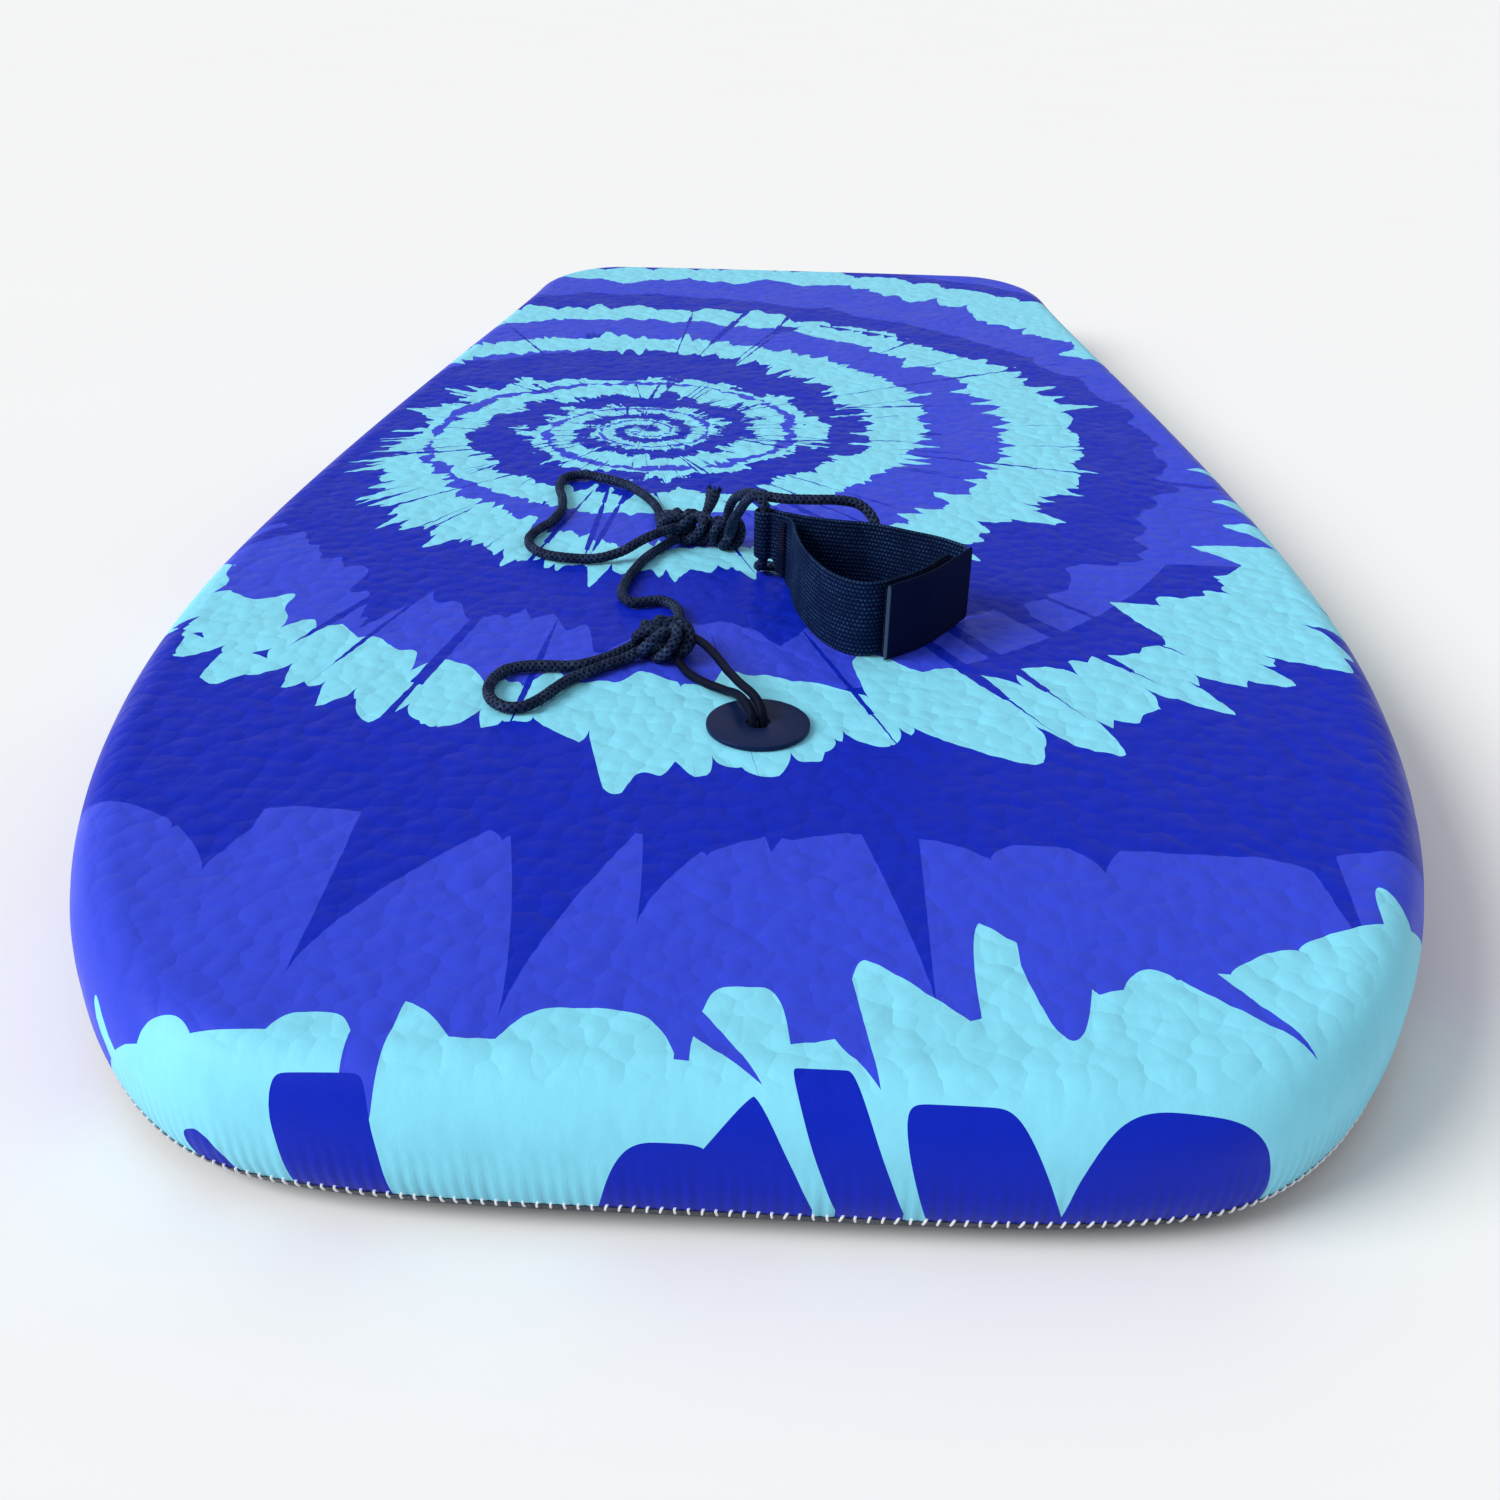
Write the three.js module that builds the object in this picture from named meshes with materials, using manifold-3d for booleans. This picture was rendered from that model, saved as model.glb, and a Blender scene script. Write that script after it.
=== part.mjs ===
// A 41 inch foam bodyboard with a wrist leash. Millimetres, +Z up.
// The origin is on the ground under the board's centre. The nose points along -Y and the deck faces +Z.
import * as THREE from 'three';
import { mergeVertices } from 'three/addons/utils/BufferGeometryUtils.js';
import Module from 'manifold-3d';

const wasm = await Module();
wasm.setup();

// Board
const LENGTH = 1041;
const HALF_WIDTH = 254;
const WIDEST_FROM_NOSE = 344;
const THICKNESS = 50;
const DECK_EDGE = { inset: 17, drop: 20 };
const BOTTOM_EDGE = { inset: 13, rise: 22 };
const SEAM_HEIGHT = 9;
const COVER_THICKNESS = 1;
const PANEL_THICKNESS = 1.2;
const GAP = 0.3;
const THREAD_RADIUS = 0.7;
// How far a cutter reaches past the surface that it cuts.
const OVERCUT = 1;

// Leash plug
const PLUG = { x: 2.6, y: -325 };
const DISC_RADIUS = 19;
const DISC_THICKNESS = 1.8;
const CORD_HOLE_RADIUS = 4.4;
const CUP = { flangeRadius: 19, flange: 1.6, radius: 11, depth: 17, wall: 1.8, floor: 2.5 };

// Cords
const BRAID_RADIUS = 2.25;
const ANCHOR_RADIUS = 1.75;
const CORD_LIFT = 0.15;
const BRAID_Z = THICKNESS + BRAID_RADIUS + CORD_LIFT;
const ANCHOR_Z = THICKNESS + ANCHOR_RADIUS + CORD_LIFT;
const CORD_SIDES = 8;

// Wrist cuff
const STRAP_WIDTH = 32;
const STRAP_THICKNESS = 1.8;
const TAPE_THICKNESS = 0.8;
const CUFF_BASE = THICKNESS + GAP;
const CUFF_TOP = CUFF_BASE + STRAP_WIDTH;
const EYE = { x: -0.5, y: -184.5, clearance: 0.7, lift: 10.5, run: 7 };
const HINGE = { x: 86, y: -221 };
const TAPE_MARGIN = 1;
const BAR_TACK = { x: 6.8, y: -191.7, length: 5, depth: 0.5, margin: 3, turn: -29.7 };

const COLOURS = {
  foam: { color: 0xf4f4f2, roughness: 0.9, metalness: 0 },
  cover: { color: 0x2b3fc4, roughness: 0.42, metalness: 0 },
  panel: { color: 0x10152c, roughness: 0.45, metalness: 0 },
  thread: { color: 0xf0f2f4, roughness: 0.8, metalness: 0 },
  plastic: { color: 0x12162e, roughness: 0.38, metalness: 0 },
  cord: { color: 0x0b1030, roughness: 0.85, metalness: 0 },
  webbing: { color: 0x0c1236, roughness: 0.8, metalness: 0 },
  tape: { color: 0x070b26, roughness: 0.9, metalness: 0 },
};

const board = new THREE.Group();
board.name = 'bodyboard';

function addPiece(name, geometry, finish) {
  const mesh = new THREE.Mesh(geometry, new THREE.MeshStandardMaterial(COLOURS[finish]));
  mesh.name = name;
  board.add(mesh);
}

// Booleans

function toSolid(geometry) {
  const bare = geometry.clone();
  bare.deleteAttribute('normal');
  bare.deleteAttribute('uv');
  const merged = mergeVertices(bare, 1e-4);
  const vertProperties = new Float32Array(merged.getAttribute('position').array);
  const triVerts = new Uint32Array(merged.getIndex().array);
  return new wasm.Manifold(new wasm.Mesh({ numProp: 3, vertProperties, triVerts }));
}

function toGeometry(solid) {
  const { vertProperties, triVerts } = solid.getMesh();
  const geometry = new THREE.BufferGeometry();
  geometry.setAttribute('position', new THREE.BufferAttribute(new Float32Array(vertProperties), 3));
  geometry.setIndex(new THREE.BufferAttribute(new Uint32Array(triVerts), 1));
  geometry.computeVertexNormals();
  return geometry;
}

function cut(geometry, ...tools) {
  let solid = toSolid(geometry);
  for (const tool of tools) solid = solid.subtract(toSolid(tool));
  return toGeometry(solid);
}

// A solid cylinder about a vertical axis at (x, y), from one height to another.
function post(x, y, radius, from, to, sides = 24) {
  const geometry = new THREE.CylinderGeometry(radius, radius, to - from, sides);
  geometry.rotateX(Math.PI / 2);
  geometry.translate(x, y, (from + to) / 2);
  return geometry;
}

// Planform: half of the outline as Bezier curves, from the middle of the nose round to the middle of
// the tail, and its mirror image. Distances run back from the nose.

function halfOutline() {
  const nose = -LENGTH / 2;
  const curve = (ax, ay, bx, by, cx, cy, dx, dy) => new THREE.CubicBezierCurve(
    new THREE.Vector2(ax, nose + ay),
    new THREE.Vector2(bx, nose + by),
    new THREE.Vector2(cx, nose + cy),
    new THREE.Vector2(dx, nose + dy),
  );
  const shoulder = { x: 133, y: 8 };
  const hip = { x: 210, y: 951 };
  const heel = { x: 142, y: LENGTH - 2 };
  return [
    [curve(0, 0, 60, 0, 103, -1, shoulder.x, shoulder.y), 4],
    [curve(shoulder.x, shoulder.y, 201, 29, HALF_WIDTH, 171, HALF_WIDTH, WIDEST_FROM_NOSE), 11],
    [curve(HALF_WIDTH, WIDEST_FROM_NOSE, HALF_WIDTH, 533, 216, 828, hip.x, hip.y), 7],
    [curve(hip.x, hip.y, 208, 993, 184, LENGTH - 2, heel.x, heel.y), 8],
    [curve(heel.x, heel.y, 95, LENGTH, 48, LENGTH, 0, LENGTH), 2],
  ];
}

function planform() {
  const right = [new THREE.Vector2(0, -LENGTH / 2)];
  for (const [curve, divisions] of halfOutline()) right.push(...curve.getPoints(divisions).slice(1));
  const left = right.slice(1, -1).reverse().map((point) => new THREE.Vector2(-point.x, point.y));
  return [...right, ...left];
}

// Moves each point of a closed anticlockwise outline inwards, square to the outline.
function insetOutline(outline, distance) {
  return outline.map((point, i) => {
    const before = outline[(i + outline.length - 1) % outline.length];
    const after = outline[(i + 1) % outline.length];
    const inA = new THREE.Vector2().subVectors(point, before).normalize();
    const inB = new THREE.Vector2().subVectors(after, point).normalize();
    const along = new THREE.Vector2().addVectors(inA, inB).normalize();
    const shift = distance / along.dot(inA);
    return new THREE.Vector2(point.x - along.y * shift, point.y + along.x * shift);
  });
}

// A closed body whose surface follows a list of levels, each an inset of the outline and a height.
// The first level is closed by a face looking down and the last by a face looking up.
function loft(outline, levels) {
  const count = outline.length;
  const positions = [];
  for (const { inset, z } of levels) {
    for (const point of insetOutline(outline, inset)) positions.push(point.x, point.y, z);
  }
  const first = levels[0];
  const last = levels[levels.length - 1];
  positions.push(0, 0, first.z, 0, 0, last.z);
  const lowCentre = levels.length * count;
  const highCentre = lowCentre + 1;
  const lastRing = (levels.length - 1) * count;
  const index = [];
  for (let i = 0; i < count; i += 1) {
    const next = (i + 1) % count;
    index.push(lowCentre, next, i);
    index.push(highCentre, lastRing + i, lastRing + next);
    for (let level = 0; level < levels.length - 1; level += 1) {
      const low = level * count;
      const high = low + count;
      index.push(low + i, low + next, high + next);
      index.push(low + i, high + next, high + i);
    }
  }
  const geometry = new THREE.BufferGeometry();
  geometry.setAttribute('position', new THREE.Float32BufferAttribute(positions, 3));
  geometry.setIndex(index);
  return geometry;
}

// Rail section: two quarter ellipses with a short upright between them, each at a list of angles.
// A skin's inside and the core follow the same angles at their own depth below the outer surface.

const UNDER_ANGLES = [90, 70, 52];
const LOW_ANGLES = [24, 0];
const HIGH_ANGLES = [0, 30, 60, 90];

// The angle on the lower ellipse at which the outer surface reaches a height.
function angleAt(height) {
  return THREE.MathUtils.radToDeg(Math.asin((BOTTOM_EDGE.rise - height) / BOTTOM_EDGE.rise));
}

const SEAM_ANGLE = angleAt(SEAM_HEIGHT);
const HEM_ANGLE = angleAt(SEAM_HEIGHT - GAP);

function lowLevel(angle, depth) {
  const turn = THREE.MathUtils.degToRad(angle);
  return {
    inset: BOTTOM_EDGE.inset - (BOTTOM_EDGE.inset - depth) * Math.cos(turn),
    z: BOTTOM_EDGE.rise - (BOTTOM_EDGE.rise - depth) * Math.sin(turn),
  };
}

function highLevel(angle, depth) {
  const turn = THREE.MathUtils.degToRad(angle);
  return {
    inset: DECK_EDGE.inset - (DECK_EDGE.inset - depth) * Math.cos(turn),
    z: THICKNESS - DECK_EDGE.drop + (DECK_EDGE.drop - depth) * Math.sin(turn),
  };
}

function railLevels(lowAngles, highAngles, depth) {
  return [
    ...lowAngles.map((angle) => lowLevel(angle, depth)),
    ...highAngles.map((angle) => highLevel(angle, depth)),
  ];
}

const outline = planform();

function foamCore() {
  const depth = Math.max(COVER_THICKNESS, PANEL_THICKNESS) + GAP;
  const lowAngles = [...UNDER_ANGLES, SEAM_ANGLE, ...LOW_ANGLES];
  const body = loft(outline, railLevels(lowAngles, HIGH_ANGLES, depth));
  return cut(
    body,
    post(PLUG.x, PLUG.y, CORD_HOLE_RADIUS, -OVERCUT, THICKNESS + OVERCUT),
    post(PLUG.x, PLUG.y, CUP.radius + GAP, -OVERCUT, CUP.depth + GAP),
    post(PLUG.x, PLUG.y, CUP.flangeRadius + GAP, -OVERCUT, GAP + CUP.flange + GAP),
  );
}

function deckCover() {
  const angles = [SEAM_ANGLE, ...LOW_ANGLES];
  const inside = railLevels(angles, HIGH_ANGLES, COVER_THICKNESS).reverse();
  const outside = railLevels(angles, HIGH_ANGLES, 0);
  const skin = loft(outline, [...inside, ...outside]);
  return cut(skin, post(PLUG.x, PLUG.y, CORD_HOLE_RADIUS, THICKNESS / 2, THICKNESS + OVERCUT));
}

function bottomPanel() {
  const angles = [...UNDER_ANGLES, HEM_ANGLE];
  const outside = railLevels(angles, [], 0);
  const inside = railLevels(angles, [], PANEL_THICKNESS).reverse();
  const skin = loft(outline, [...outside, ...inside]);
  const hole = post(PLUG.x, PLUG.y, CUP.flangeRadius + GAP, -OVERCUT, PANEL_THICKNESS + OVERCUT);
  return cut(skin, hole);
}

// The overedge thread that closes the seam, as one bead that stands on it all the way round.
function seamThread() {
  const sides = 6;
  const flatten = 1.6;
  const inset = lowLevel(SEAM_ANGLE, 0).inset;
  const rings = [];
  for (let side = 0; side < sides; side += 1) {
    const angle = (2 * Math.PI * side) / sides;
    const reach = GAP + THREAD_RADIUS * (1 + Math.cos(angle));
    const z = SEAM_HEIGHT + flatten * THREAD_RADIUS * Math.sin(angle);
    rings.push(insetOutline(outline, inset - reach).map((point) => [point.x, point.y, z]));
  }
  const count = outline.length;
  const index = [];
  for (let i = 0; i < count; i += 1) {
    const next = (i + 1) % count;
    for (let side = 0; side < sides; side += 1) {
      const low = side * count;
      const high = ((side + 1) % sides) * count;
      index.push(low + i, low + next, high + next);
      index.push(low + i, high + next, high + i);
    }
  }
  const geometry = new THREE.BufferGeometry();
  geometry.setAttribute('position', new THREE.Float32BufferAttribute(rings.flat(2), 3));
  geometry.setIndex(index);
  return geometry;
}

// Leash plug

function lathe(profile, x, y, sides = 32) {
  const geometry = new THREE.LatheGeometry(profile.map(([r, z]) => new THREE.Vector2(r, z)), sides);
  geometry.rotateX(Math.PI / 2);
  geometry.translate(x, y, 0);
  return geometry;
}

function plugDisc() {
  const low = THICKNESS + GAP;
  const high = low + DISC_THICKNESS;
  const bevel = 0.4;
  return lathe([
    [CORD_HOLE_RADIUS, low],
    [DISC_RADIUS - bevel, low],
    [DISC_RADIUS, low + bevel],
    [DISC_RADIUS, high - bevel],
    [DISC_RADIUS - bevel, high],
    [CORD_HOLE_RADIUS + bevel, high],
    [CORD_HOLE_RADIUS, high - bevel],
    [CORD_HOLE_RADIUS, low],
  ], PLUG.x, PLUG.y);
}

// The cup under the board, open downwards, with the cord's hole in its top.
function plugCup() {
  return lathe([
    [CORD_HOLE_RADIUS, CUP.depth - CUP.floor],
    [CUP.radius - CUP.wall, CUP.depth - CUP.floor],
    [CUP.radius - CUP.wall, GAP],
    [CUP.flangeRadius, GAP],
    [CUP.flangeRadius, GAP + CUP.flange],
    [CUP.radius, GAP + CUP.flange],
    [CUP.radius, CUP.depth],
    [CORD_HOLE_RADIUS, CUP.depth],
    [CORD_HOLE_RADIUS, CUP.depth - CUP.floor],
  ], PLUG.x, PLUG.y);
}

// Cords and knots

function polygonSection(radius, sides) {
  const section = new THREE.Shape();
  for (let i = 0; i < sides; i += 1) {
    const angle = (2 * Math.PI * i) / sides;
    const x = radius * Math.cos(angle);
    const y = radius * Math.sin(angle);
    if (i === 0) section.moveTo(x, y);
    else section.lineTo(x, y);
  }
  section.closePath();
  return section;
}

function cord(route, radius, steps) {
  const points = route.map(([x, y, z]) => new THREE.Vector3(x, y, z));
  const path = new THREE.CatmullRomCurve3(points, false, 'centripetal');
  return new THREE.ExtrudeGeometry(polygonSection(radius, CORD_SIDES), {
    steps,
    extrudePath: path,
    curveSegments: 1,
  });
}

// A knot as a rounded lump, with its three half sizes along the turned X, Y and Z.
function lump({ x, y, z, half, turn = 0 }, grow = 0) {
  const geometry = new THREE.SphereGeometry(1, 12, 8);
  geometry.rotateX(Math.PI / 2);
  geometry.scale(half[0] + grow, half[1] + grow, half[2] + grow);
  geometry.rotateZ(THREE.MathUtils.degToRad(turn));
  geometry.translate(x, y, z);
  return geometry;
}

const KNOTS = {
  anchor_stopper_knot: { x: PLUG.x, y: PLUG.y, z: 8, half: [7, 6.5, 5.2] },
  knot_near: { x: -37, y: -267, z: 57, half: [12, 11, 6.7] },
  knot_far: { x: -38.6, y: -140.5, z: 57, half: [11, 8.5, 6.7], turn: -15 },
  lanyard_knot: { x: -19, y: -147, z: 57.3, half: [8, 8, 6.9] },
};

// The two legs of the thin cord go down through the plug side by side.
const LEG = { x: 1.75, y: 0.76 };

const ROUTES = {
  anchor_leg_upper: [
    [PLUG.x + LEG.x, PLUG.y + LEG.y, 8],
    [PLUG.x + LEG.x, PLUG.y + LEG.y, 30],
    [PLUG.x + LEG.x, PLUG.y + LEG.y, 46],
    [PLUG.x + LEG.x, PLUG.y + LEG.y, 51],
    [3.7, -322.6, 55.6],
    [1, -317.2, 58.4],
    [-4.4, -308, 58.6],
    [-10.4, -294, 57.4],
    [-16, -280, 57],
    [-22.5, -270, 58],
    [-30, -264, 58.5],
  ],
  anchor_leg_lower: [
    [PLUG.x - LEG.x, PLUG.y - LEG.y, 8],
    [PLUG.x - LEG.x, PLUG.y - LEG.y, 30],
    [PLUG.x - LEG.x, PLUG.y - LEG.y, 46],
    [PLUG.x - LEG.x, PLUG.y - LEG.y, 51],
    [0.1, -324, 55],
    [-2.6, -318.8, 57],
    [-6, -310, 55.4],
    [-10.6, -301.6, 52.6],
    [-18, -295, ANCHOR_Z],
    [-25.6, -287, ANCHOR_Z],
    [-30.6, -277, ANCHOR_Z + 0.6],
    [-34, -269, ANCHOR_Z + 3],
  ],
  end_loop: [
    [-41, -262.5, 55],
    [-47.9, -264.6, 53.4],
    [-55.9, -273, BRAID_Z],
    [-63, -280.3, BRAID_Z],
    [-71, -284.8, BRAID_Z],
    [-80, -285.4, BRAID_Z],
    [-88.5, -286.3, BRAID_Z],
    [-95.7, -290.2, BRAID_Z],
    [-99.4, -299, BRAID_Z],
    [-99.2, -309, BRAID_Z],
    [-95.6, -317, BRAID_Z],
    [-89.7, -321.2, BRAID_Z],
    [-84, -320.2, BRAID_Z],
    [-79, -314, BRAID_Z],
    [-75, -305.4, BRAID_Z],
    [-70, -296, BRAID_Z],
    [-60.5, -285.6, BRAID_Z],
    [-51.6, -276.6, BRAID_Z],
    [-44.1, -269.2, 54],
  ],
  leash_cord: [
    [-35.5, -260, 56],
    [-34, -252, 54],
    [-33.4, -243, BRAID_Z],
    [-34, -233, BRAID_Z],
    [-37.6, -222.6, BRAID_Z],
    [-43.9, -218.2, BRAID_Z],
    [-50, -220.4, BRAID_Z],
    [-55.6, -221.4, BRAID_Z],
    [-60.2, -214, BRAID_Z],
    [-60.6, -201, BRAID_Z],
    [-58, -184, BRAID_Z],
    [-54.7, -170.3, BRAID_Z],
    [-49.6, -158.5, BRAID_Z],
    [-43, -147, BRAID_Z + 0.6],
  ],
  slack_loop: [
    [-43, -137, 56.5],
    [-49.4, -130, 53.6],
    [-53.2, -121, BRAID_Z],
    [-54.6, -110, BRAID_Z],
    [-58.2, -98, BRAID_Z],
    [-66.6, -82, BRAID_Z],
    [-76.1, -69.4, BRAID_Z],
    [-87.6, -61.5, BRAID_Z],
    [-100.2, -56.4, BRAID_Z],
    [-108.3, -62.4, BRAID_Z],
    [-109, -77, BRAID_Z],
    [-104.8, -94.7, BRAID_Z],
    [-102.9, -112, BRAID_Z],
    [-105.4, -128.7, BRAID_Z],
    [-109.8, -140, BRAID_Z],
    [-111.7, -151, BRAID_Z],
    [-108.4, -162, BRAID_Z],
    [-101.3, -169.6, BRAID_Z],
    [-90, -173.2, BRAID_Z],
    [-77, -172.8, BRAID_Z],
    [-66, -169, 54.6],
    [-57, -162.4, 58],
    [-49.4, -154.4, 59],
    [-43, -146, 58.5],
  ],
  cord_tail: [
    [-31, -139, 60],
    [-28.6, -133, 64],
    [-27.4, -129.4, 67],
    [-26.8, -126.6, 70],
  ],
  lanyard_cord: [
    [-19, -148, 60],
    [-18.4, -151, 68.6],
    [-15.6, -156.4, 76.6],
    [-10.4, -165, 82.6],
    [-4.6, -173, 85.6],
    [1.4, -178.4, 86.2],
    [9, -181, 86.4],
    [21, -181.4, 86.6],
    [32, -179.4, 86],
    [41, -179, 84],
    [47.2, -182.4, 78.6],
    [48.8, -186.6, 70.6],
    [46.4, -189, 62.4],
    [41.4, -188.4, 55.4],
    [34, -186, BRAID_Z + 0.2],
    [24, -182.6, BRAID_Z],
    [13, -178.6, BRAID_Z],
    [5, -175.6, BRAID_Z],
    [-1.4, -175.4, BRAID_Z + 0.2],
    [-3, -179.8, 54.2],
    [-1.2, -183.4, 57.4],
    [EYE.x, EYE.y, 62.6],
    [EYE.x, EYE.y, 72],
    [EYE.x, EYE.y, 80],
    [-1, -184.6, 85],
    [-4.6, -183.4, 88],
    [-8.4, -178.6, 84.6],
    [-12.4, -170, 76],
    [-16, -161, 67.4],
    [-18, -153, 59],
  ],
};

// Each cord's radius, its steps along the route, and the knots that it ends on.
const CORDS = {
  anchor_leg_upper: { radius: ANCHOR_RADIUS, steps: 30, knots: ['anchor_stopper_knot', 'knot_near'] },
  anchor_leg_lower: { radius: ANCHOR_RADIUS, steps: 30, knots: ['anchor_stopper_knot', 'knot_near'] },
  end_loop: { radius: BRAID_RADIUS, steps: 30, knots: ['knot_near'] },
  leash_cord: { radius: BRAID_RADIUS, steps: 26, knots: ['knot_near', 'knot_far'] },
  slack_loop: { radius: BRAID_RADIUS, steps: 40, knots: ['knot_far'] },
  cord_tail: { radius: BRAID_RADIUS, steps: 4, knots: ['knot_far'] },
  lanyard_cord: { radius: BRAID_RADIUS, steps: 66, knots: ['lanyard_knot'] },
};

// A cord ends on a knot's surface, with a small gap.
function knottedCord(name) {
  const { radius, steps, knots } = CORDS[name];
  const tube = cord(ROUTES[name], radius, steps);
  return cut(tube, ...knots.map((knot) => lump(KNOTS[knot], GAP)));
}

// Wrist cuff: straps stand on edge, so each is an upright extrusion of its outline from above.

function strapShape(route, thickness, divisions) {
  const points = route.map(([x, y]) => new THREE.Vector3(x, y, 0));
  const path = new THREE.CatmullRomCurve3(points, false, 'centripetal');
  const leftSide = [];
  const rightSide = [];
  for (let i = 0; i <= divisions; i += 1) {
    const at = path.getPointAt(i / divisions);
    const along = path.getTangentAt(i / divisions);
    const half = thickness / 2;
    leftSide.push(new THREE.Vector2(at.x - along.y * half, at.y + along.x * half));
    rightSide.push(new THREE.Vector2(at.x + along.y * half, at.y - along.x * half));
  }
  return new THREE.Shape([...rightSide, ...leftSide.reverse()]);
}

function strap(route, thickness, divisions, margin = 0) {
  const geometry = new THREE.ExtrudeGeometry(strapShape(route, thickness, divisions), {
    depth: STRAP_WIDTH - 2 * margin,
    bevelEnabled: false,
    curveSegments: 1,
  });
  geometry.translate(0, 0, CUFF_BASE + margin);
  return geometry;
}

const EYE_RADIUS = BRAID_RADIUS + EYE.clearance + STRAP_THICKNESS / 2;

// The band runs from its end under the flap round the front, round the eye that holds the cord, and
// along the back to the flap's hinge.
const BAND_FRONT = [
  [76, -227.4],
  [63.8, -246],
  [55, -254.4],
  [48, -260.2],
  [42, -262.2],
  [35, -260],
  [27, -251.6],
  [19.4, -235],
  [15.2, -220],
  [13, -206],
  [12, -197.4],
  [9.6, -191.6],
  [5.4, -189.2],
];
const BAND_BACK = [
  [5.2, -184.6],
  [11, -187.2],
  [18.4, -190.6],
  [33, -194],
  [46, -196],
  [61.5, -203.6],
  [75, -211],
  [84.8, -219.8],
];
const FLAP = [
  [HINGE.x, HINGE.y],
  [80.6, -230],
  [67.6, -249.4],
  [59, -258],
  [50.6, -265.6],
];

function eyeArc() {
  const from = -48;
  const to = -278;
  const count = 9;
  const points = [];
  for (let i = 0; i <= count; i += 1) {
    const angle = THREE.MathUtils.degToRad(from + ((to - from) * i) / count);
    points.push([EYE.x + EYE_RADIUS * Math.cos(angle), EYE.y + EYE_RADIUS * Math.sin(angle)]);
  }
  return points;
}

// The eye's lower corner is folded up, so the strap is narrower round the cord and widens past it.
// The cutter is drawn in the XZ plane and reaches across the eye along Y.
function foldedCorner() {
  const reach = 18;
  const left = EYE.x - 3 * EYE_RADIUS;
  const right = EYE.x + EYE_RADIUS;
  const section = new THREE.Shape([
    new THREE.Vector2(left, -OVERCUT),
    new THREE.Vector2(right + EYE.run, -OVERCUT),
    new THREE.Vector2(right + EYE.run, 0),
    new THREE.Vector2(right, EYE.lift),
    new THREE.Vector2(left, EYE.lift),
  ]);
  const corner = new THREE.ExtrudeGeometry(section, { depth: 2 * reach, bevelEnabled: false });
  corner.rotateX(Math.PI / 2);
  corner.translate(0, EYE.y + reach, CUFF_BASE);
  return corner;
}

function cuffBand() {
  const band = strap([...BAND_FRONT, ...eyeArc(), ...BAND_BACK], STRAP_THICKNESS, 72);
  const clearRadius = STRAP_THICKNESS / 2 + GAP;
  const clearance = post(HINGE.x, HINGE.y, clearRadius, CUFF_BASE - OVERCUT, CUFF_TOP + OVERCUT, 16);
  return cut(band, clearance, foldedCorner());
}

function offsetRoute(route, distance) {
  return route.map((point, i) => {
    const a = route[Math.max(i - 1, 0)];
    const b = route[Math.min(i + 1, route.length - 1)];
    const span = Math.hypot(b[0] - a[0], b[1] - a[1]);
    return [
      point[0] + ((b[1] - a[1]) / span) * distance,
      point[1] - ((b[0] - a[0]) / span) * distance,
    ];
  });
}

// The tapes are sewn to the band's outer face and the flap's inner face, a gap off the webbing.
const TAPE_OFFSET = (STRAP_THICKNESS + TAPE_THICKNESS) / 2 + GAP;
const TAPE_DIVISIONS = 16;

function loopTape() {
  const underFlap = BAND_FRONT.slice(0, 3);
  return strap(offsetRoute(underFlap, -TAPE_OFFSET), TAPE_THICKNESS, TAPE_DIVISIONS, TAPE_MARGIN);
}

function hookTape() {
  const pastHinge = offsetRoute(FLAP, TAPE_OFFSET).slice(1);
  return strap(pastHinge, TAPE_THICKNESS, TAPE_DIVISIONS, TAPE_MARGIN);
}

// The bar tack that sews the two layers together beside the eye.
function barTack() {
  const { x, y, length, depth, margin, turn } = BAR_TACK;
  const geometry = new THREE.BoxGeometry(length, depth, STRAP_WIDTH - 2 * margin);
  geometry.rotateZ(THREE.MathUtils.degToRad(turn));
  geometry.translate(x, y, (CUFF_BASE + CUFF_TOP) / 2 + margin / 2);
  return geometry;
}

function flapStrap() {
  const knuckle = post(HINGE.x, HINGE.y, STRAP_THICKNESS / 2, CUFF_BASE, CUFF_TOP, 16);
  const solid = toSolid(strap(FLAP, STRAP_THICKNESS, 20)).add(toSolid(knuckle));
  return toGeometry(solid);
}

addPiece('foam_core', foamCore(), 'foam');
addPiece('deck_cover', deckCover(), 'cover');
addPiece('bottom_panel', bottomPanel(), 'panel');
addPiece('seam_thread', seamThread(), 'thread');
addPiece('plug_top_disc', plugDisc(), 'plastic');
addPiece('plug_bottom_cup', plugCup(), 'plastic');

for (const name of Object.keys(KNOTS)) addPiece(name, lump(KNOTS[name]), 'cord');

for (const name of Object.keys(CORDS)) addPiece(name, knottedCord(name), 'cord');

addPiece('cuff_band', cuffBand(), 'webbing');
addPiece('bar_tack', barTack(), 'cord');
addPiece('loop_tape', loopTape(), 'tape');
addPiece('cuff_flap', flapStrap(), 'webbing');
addPiece('hook_tape', hookTape(), 'tape');

export default board;
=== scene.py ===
"""A 41 inch foam bodyboard with a printed cover and a corded wrist leash, in metres."""
import math

import bmesh
import bpy
import numpy as np
from mathutils import Matrix, Vector
from mathutils.geometry import delaunay_2d_cdt
from mathutils.kdtree import KDTree


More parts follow.
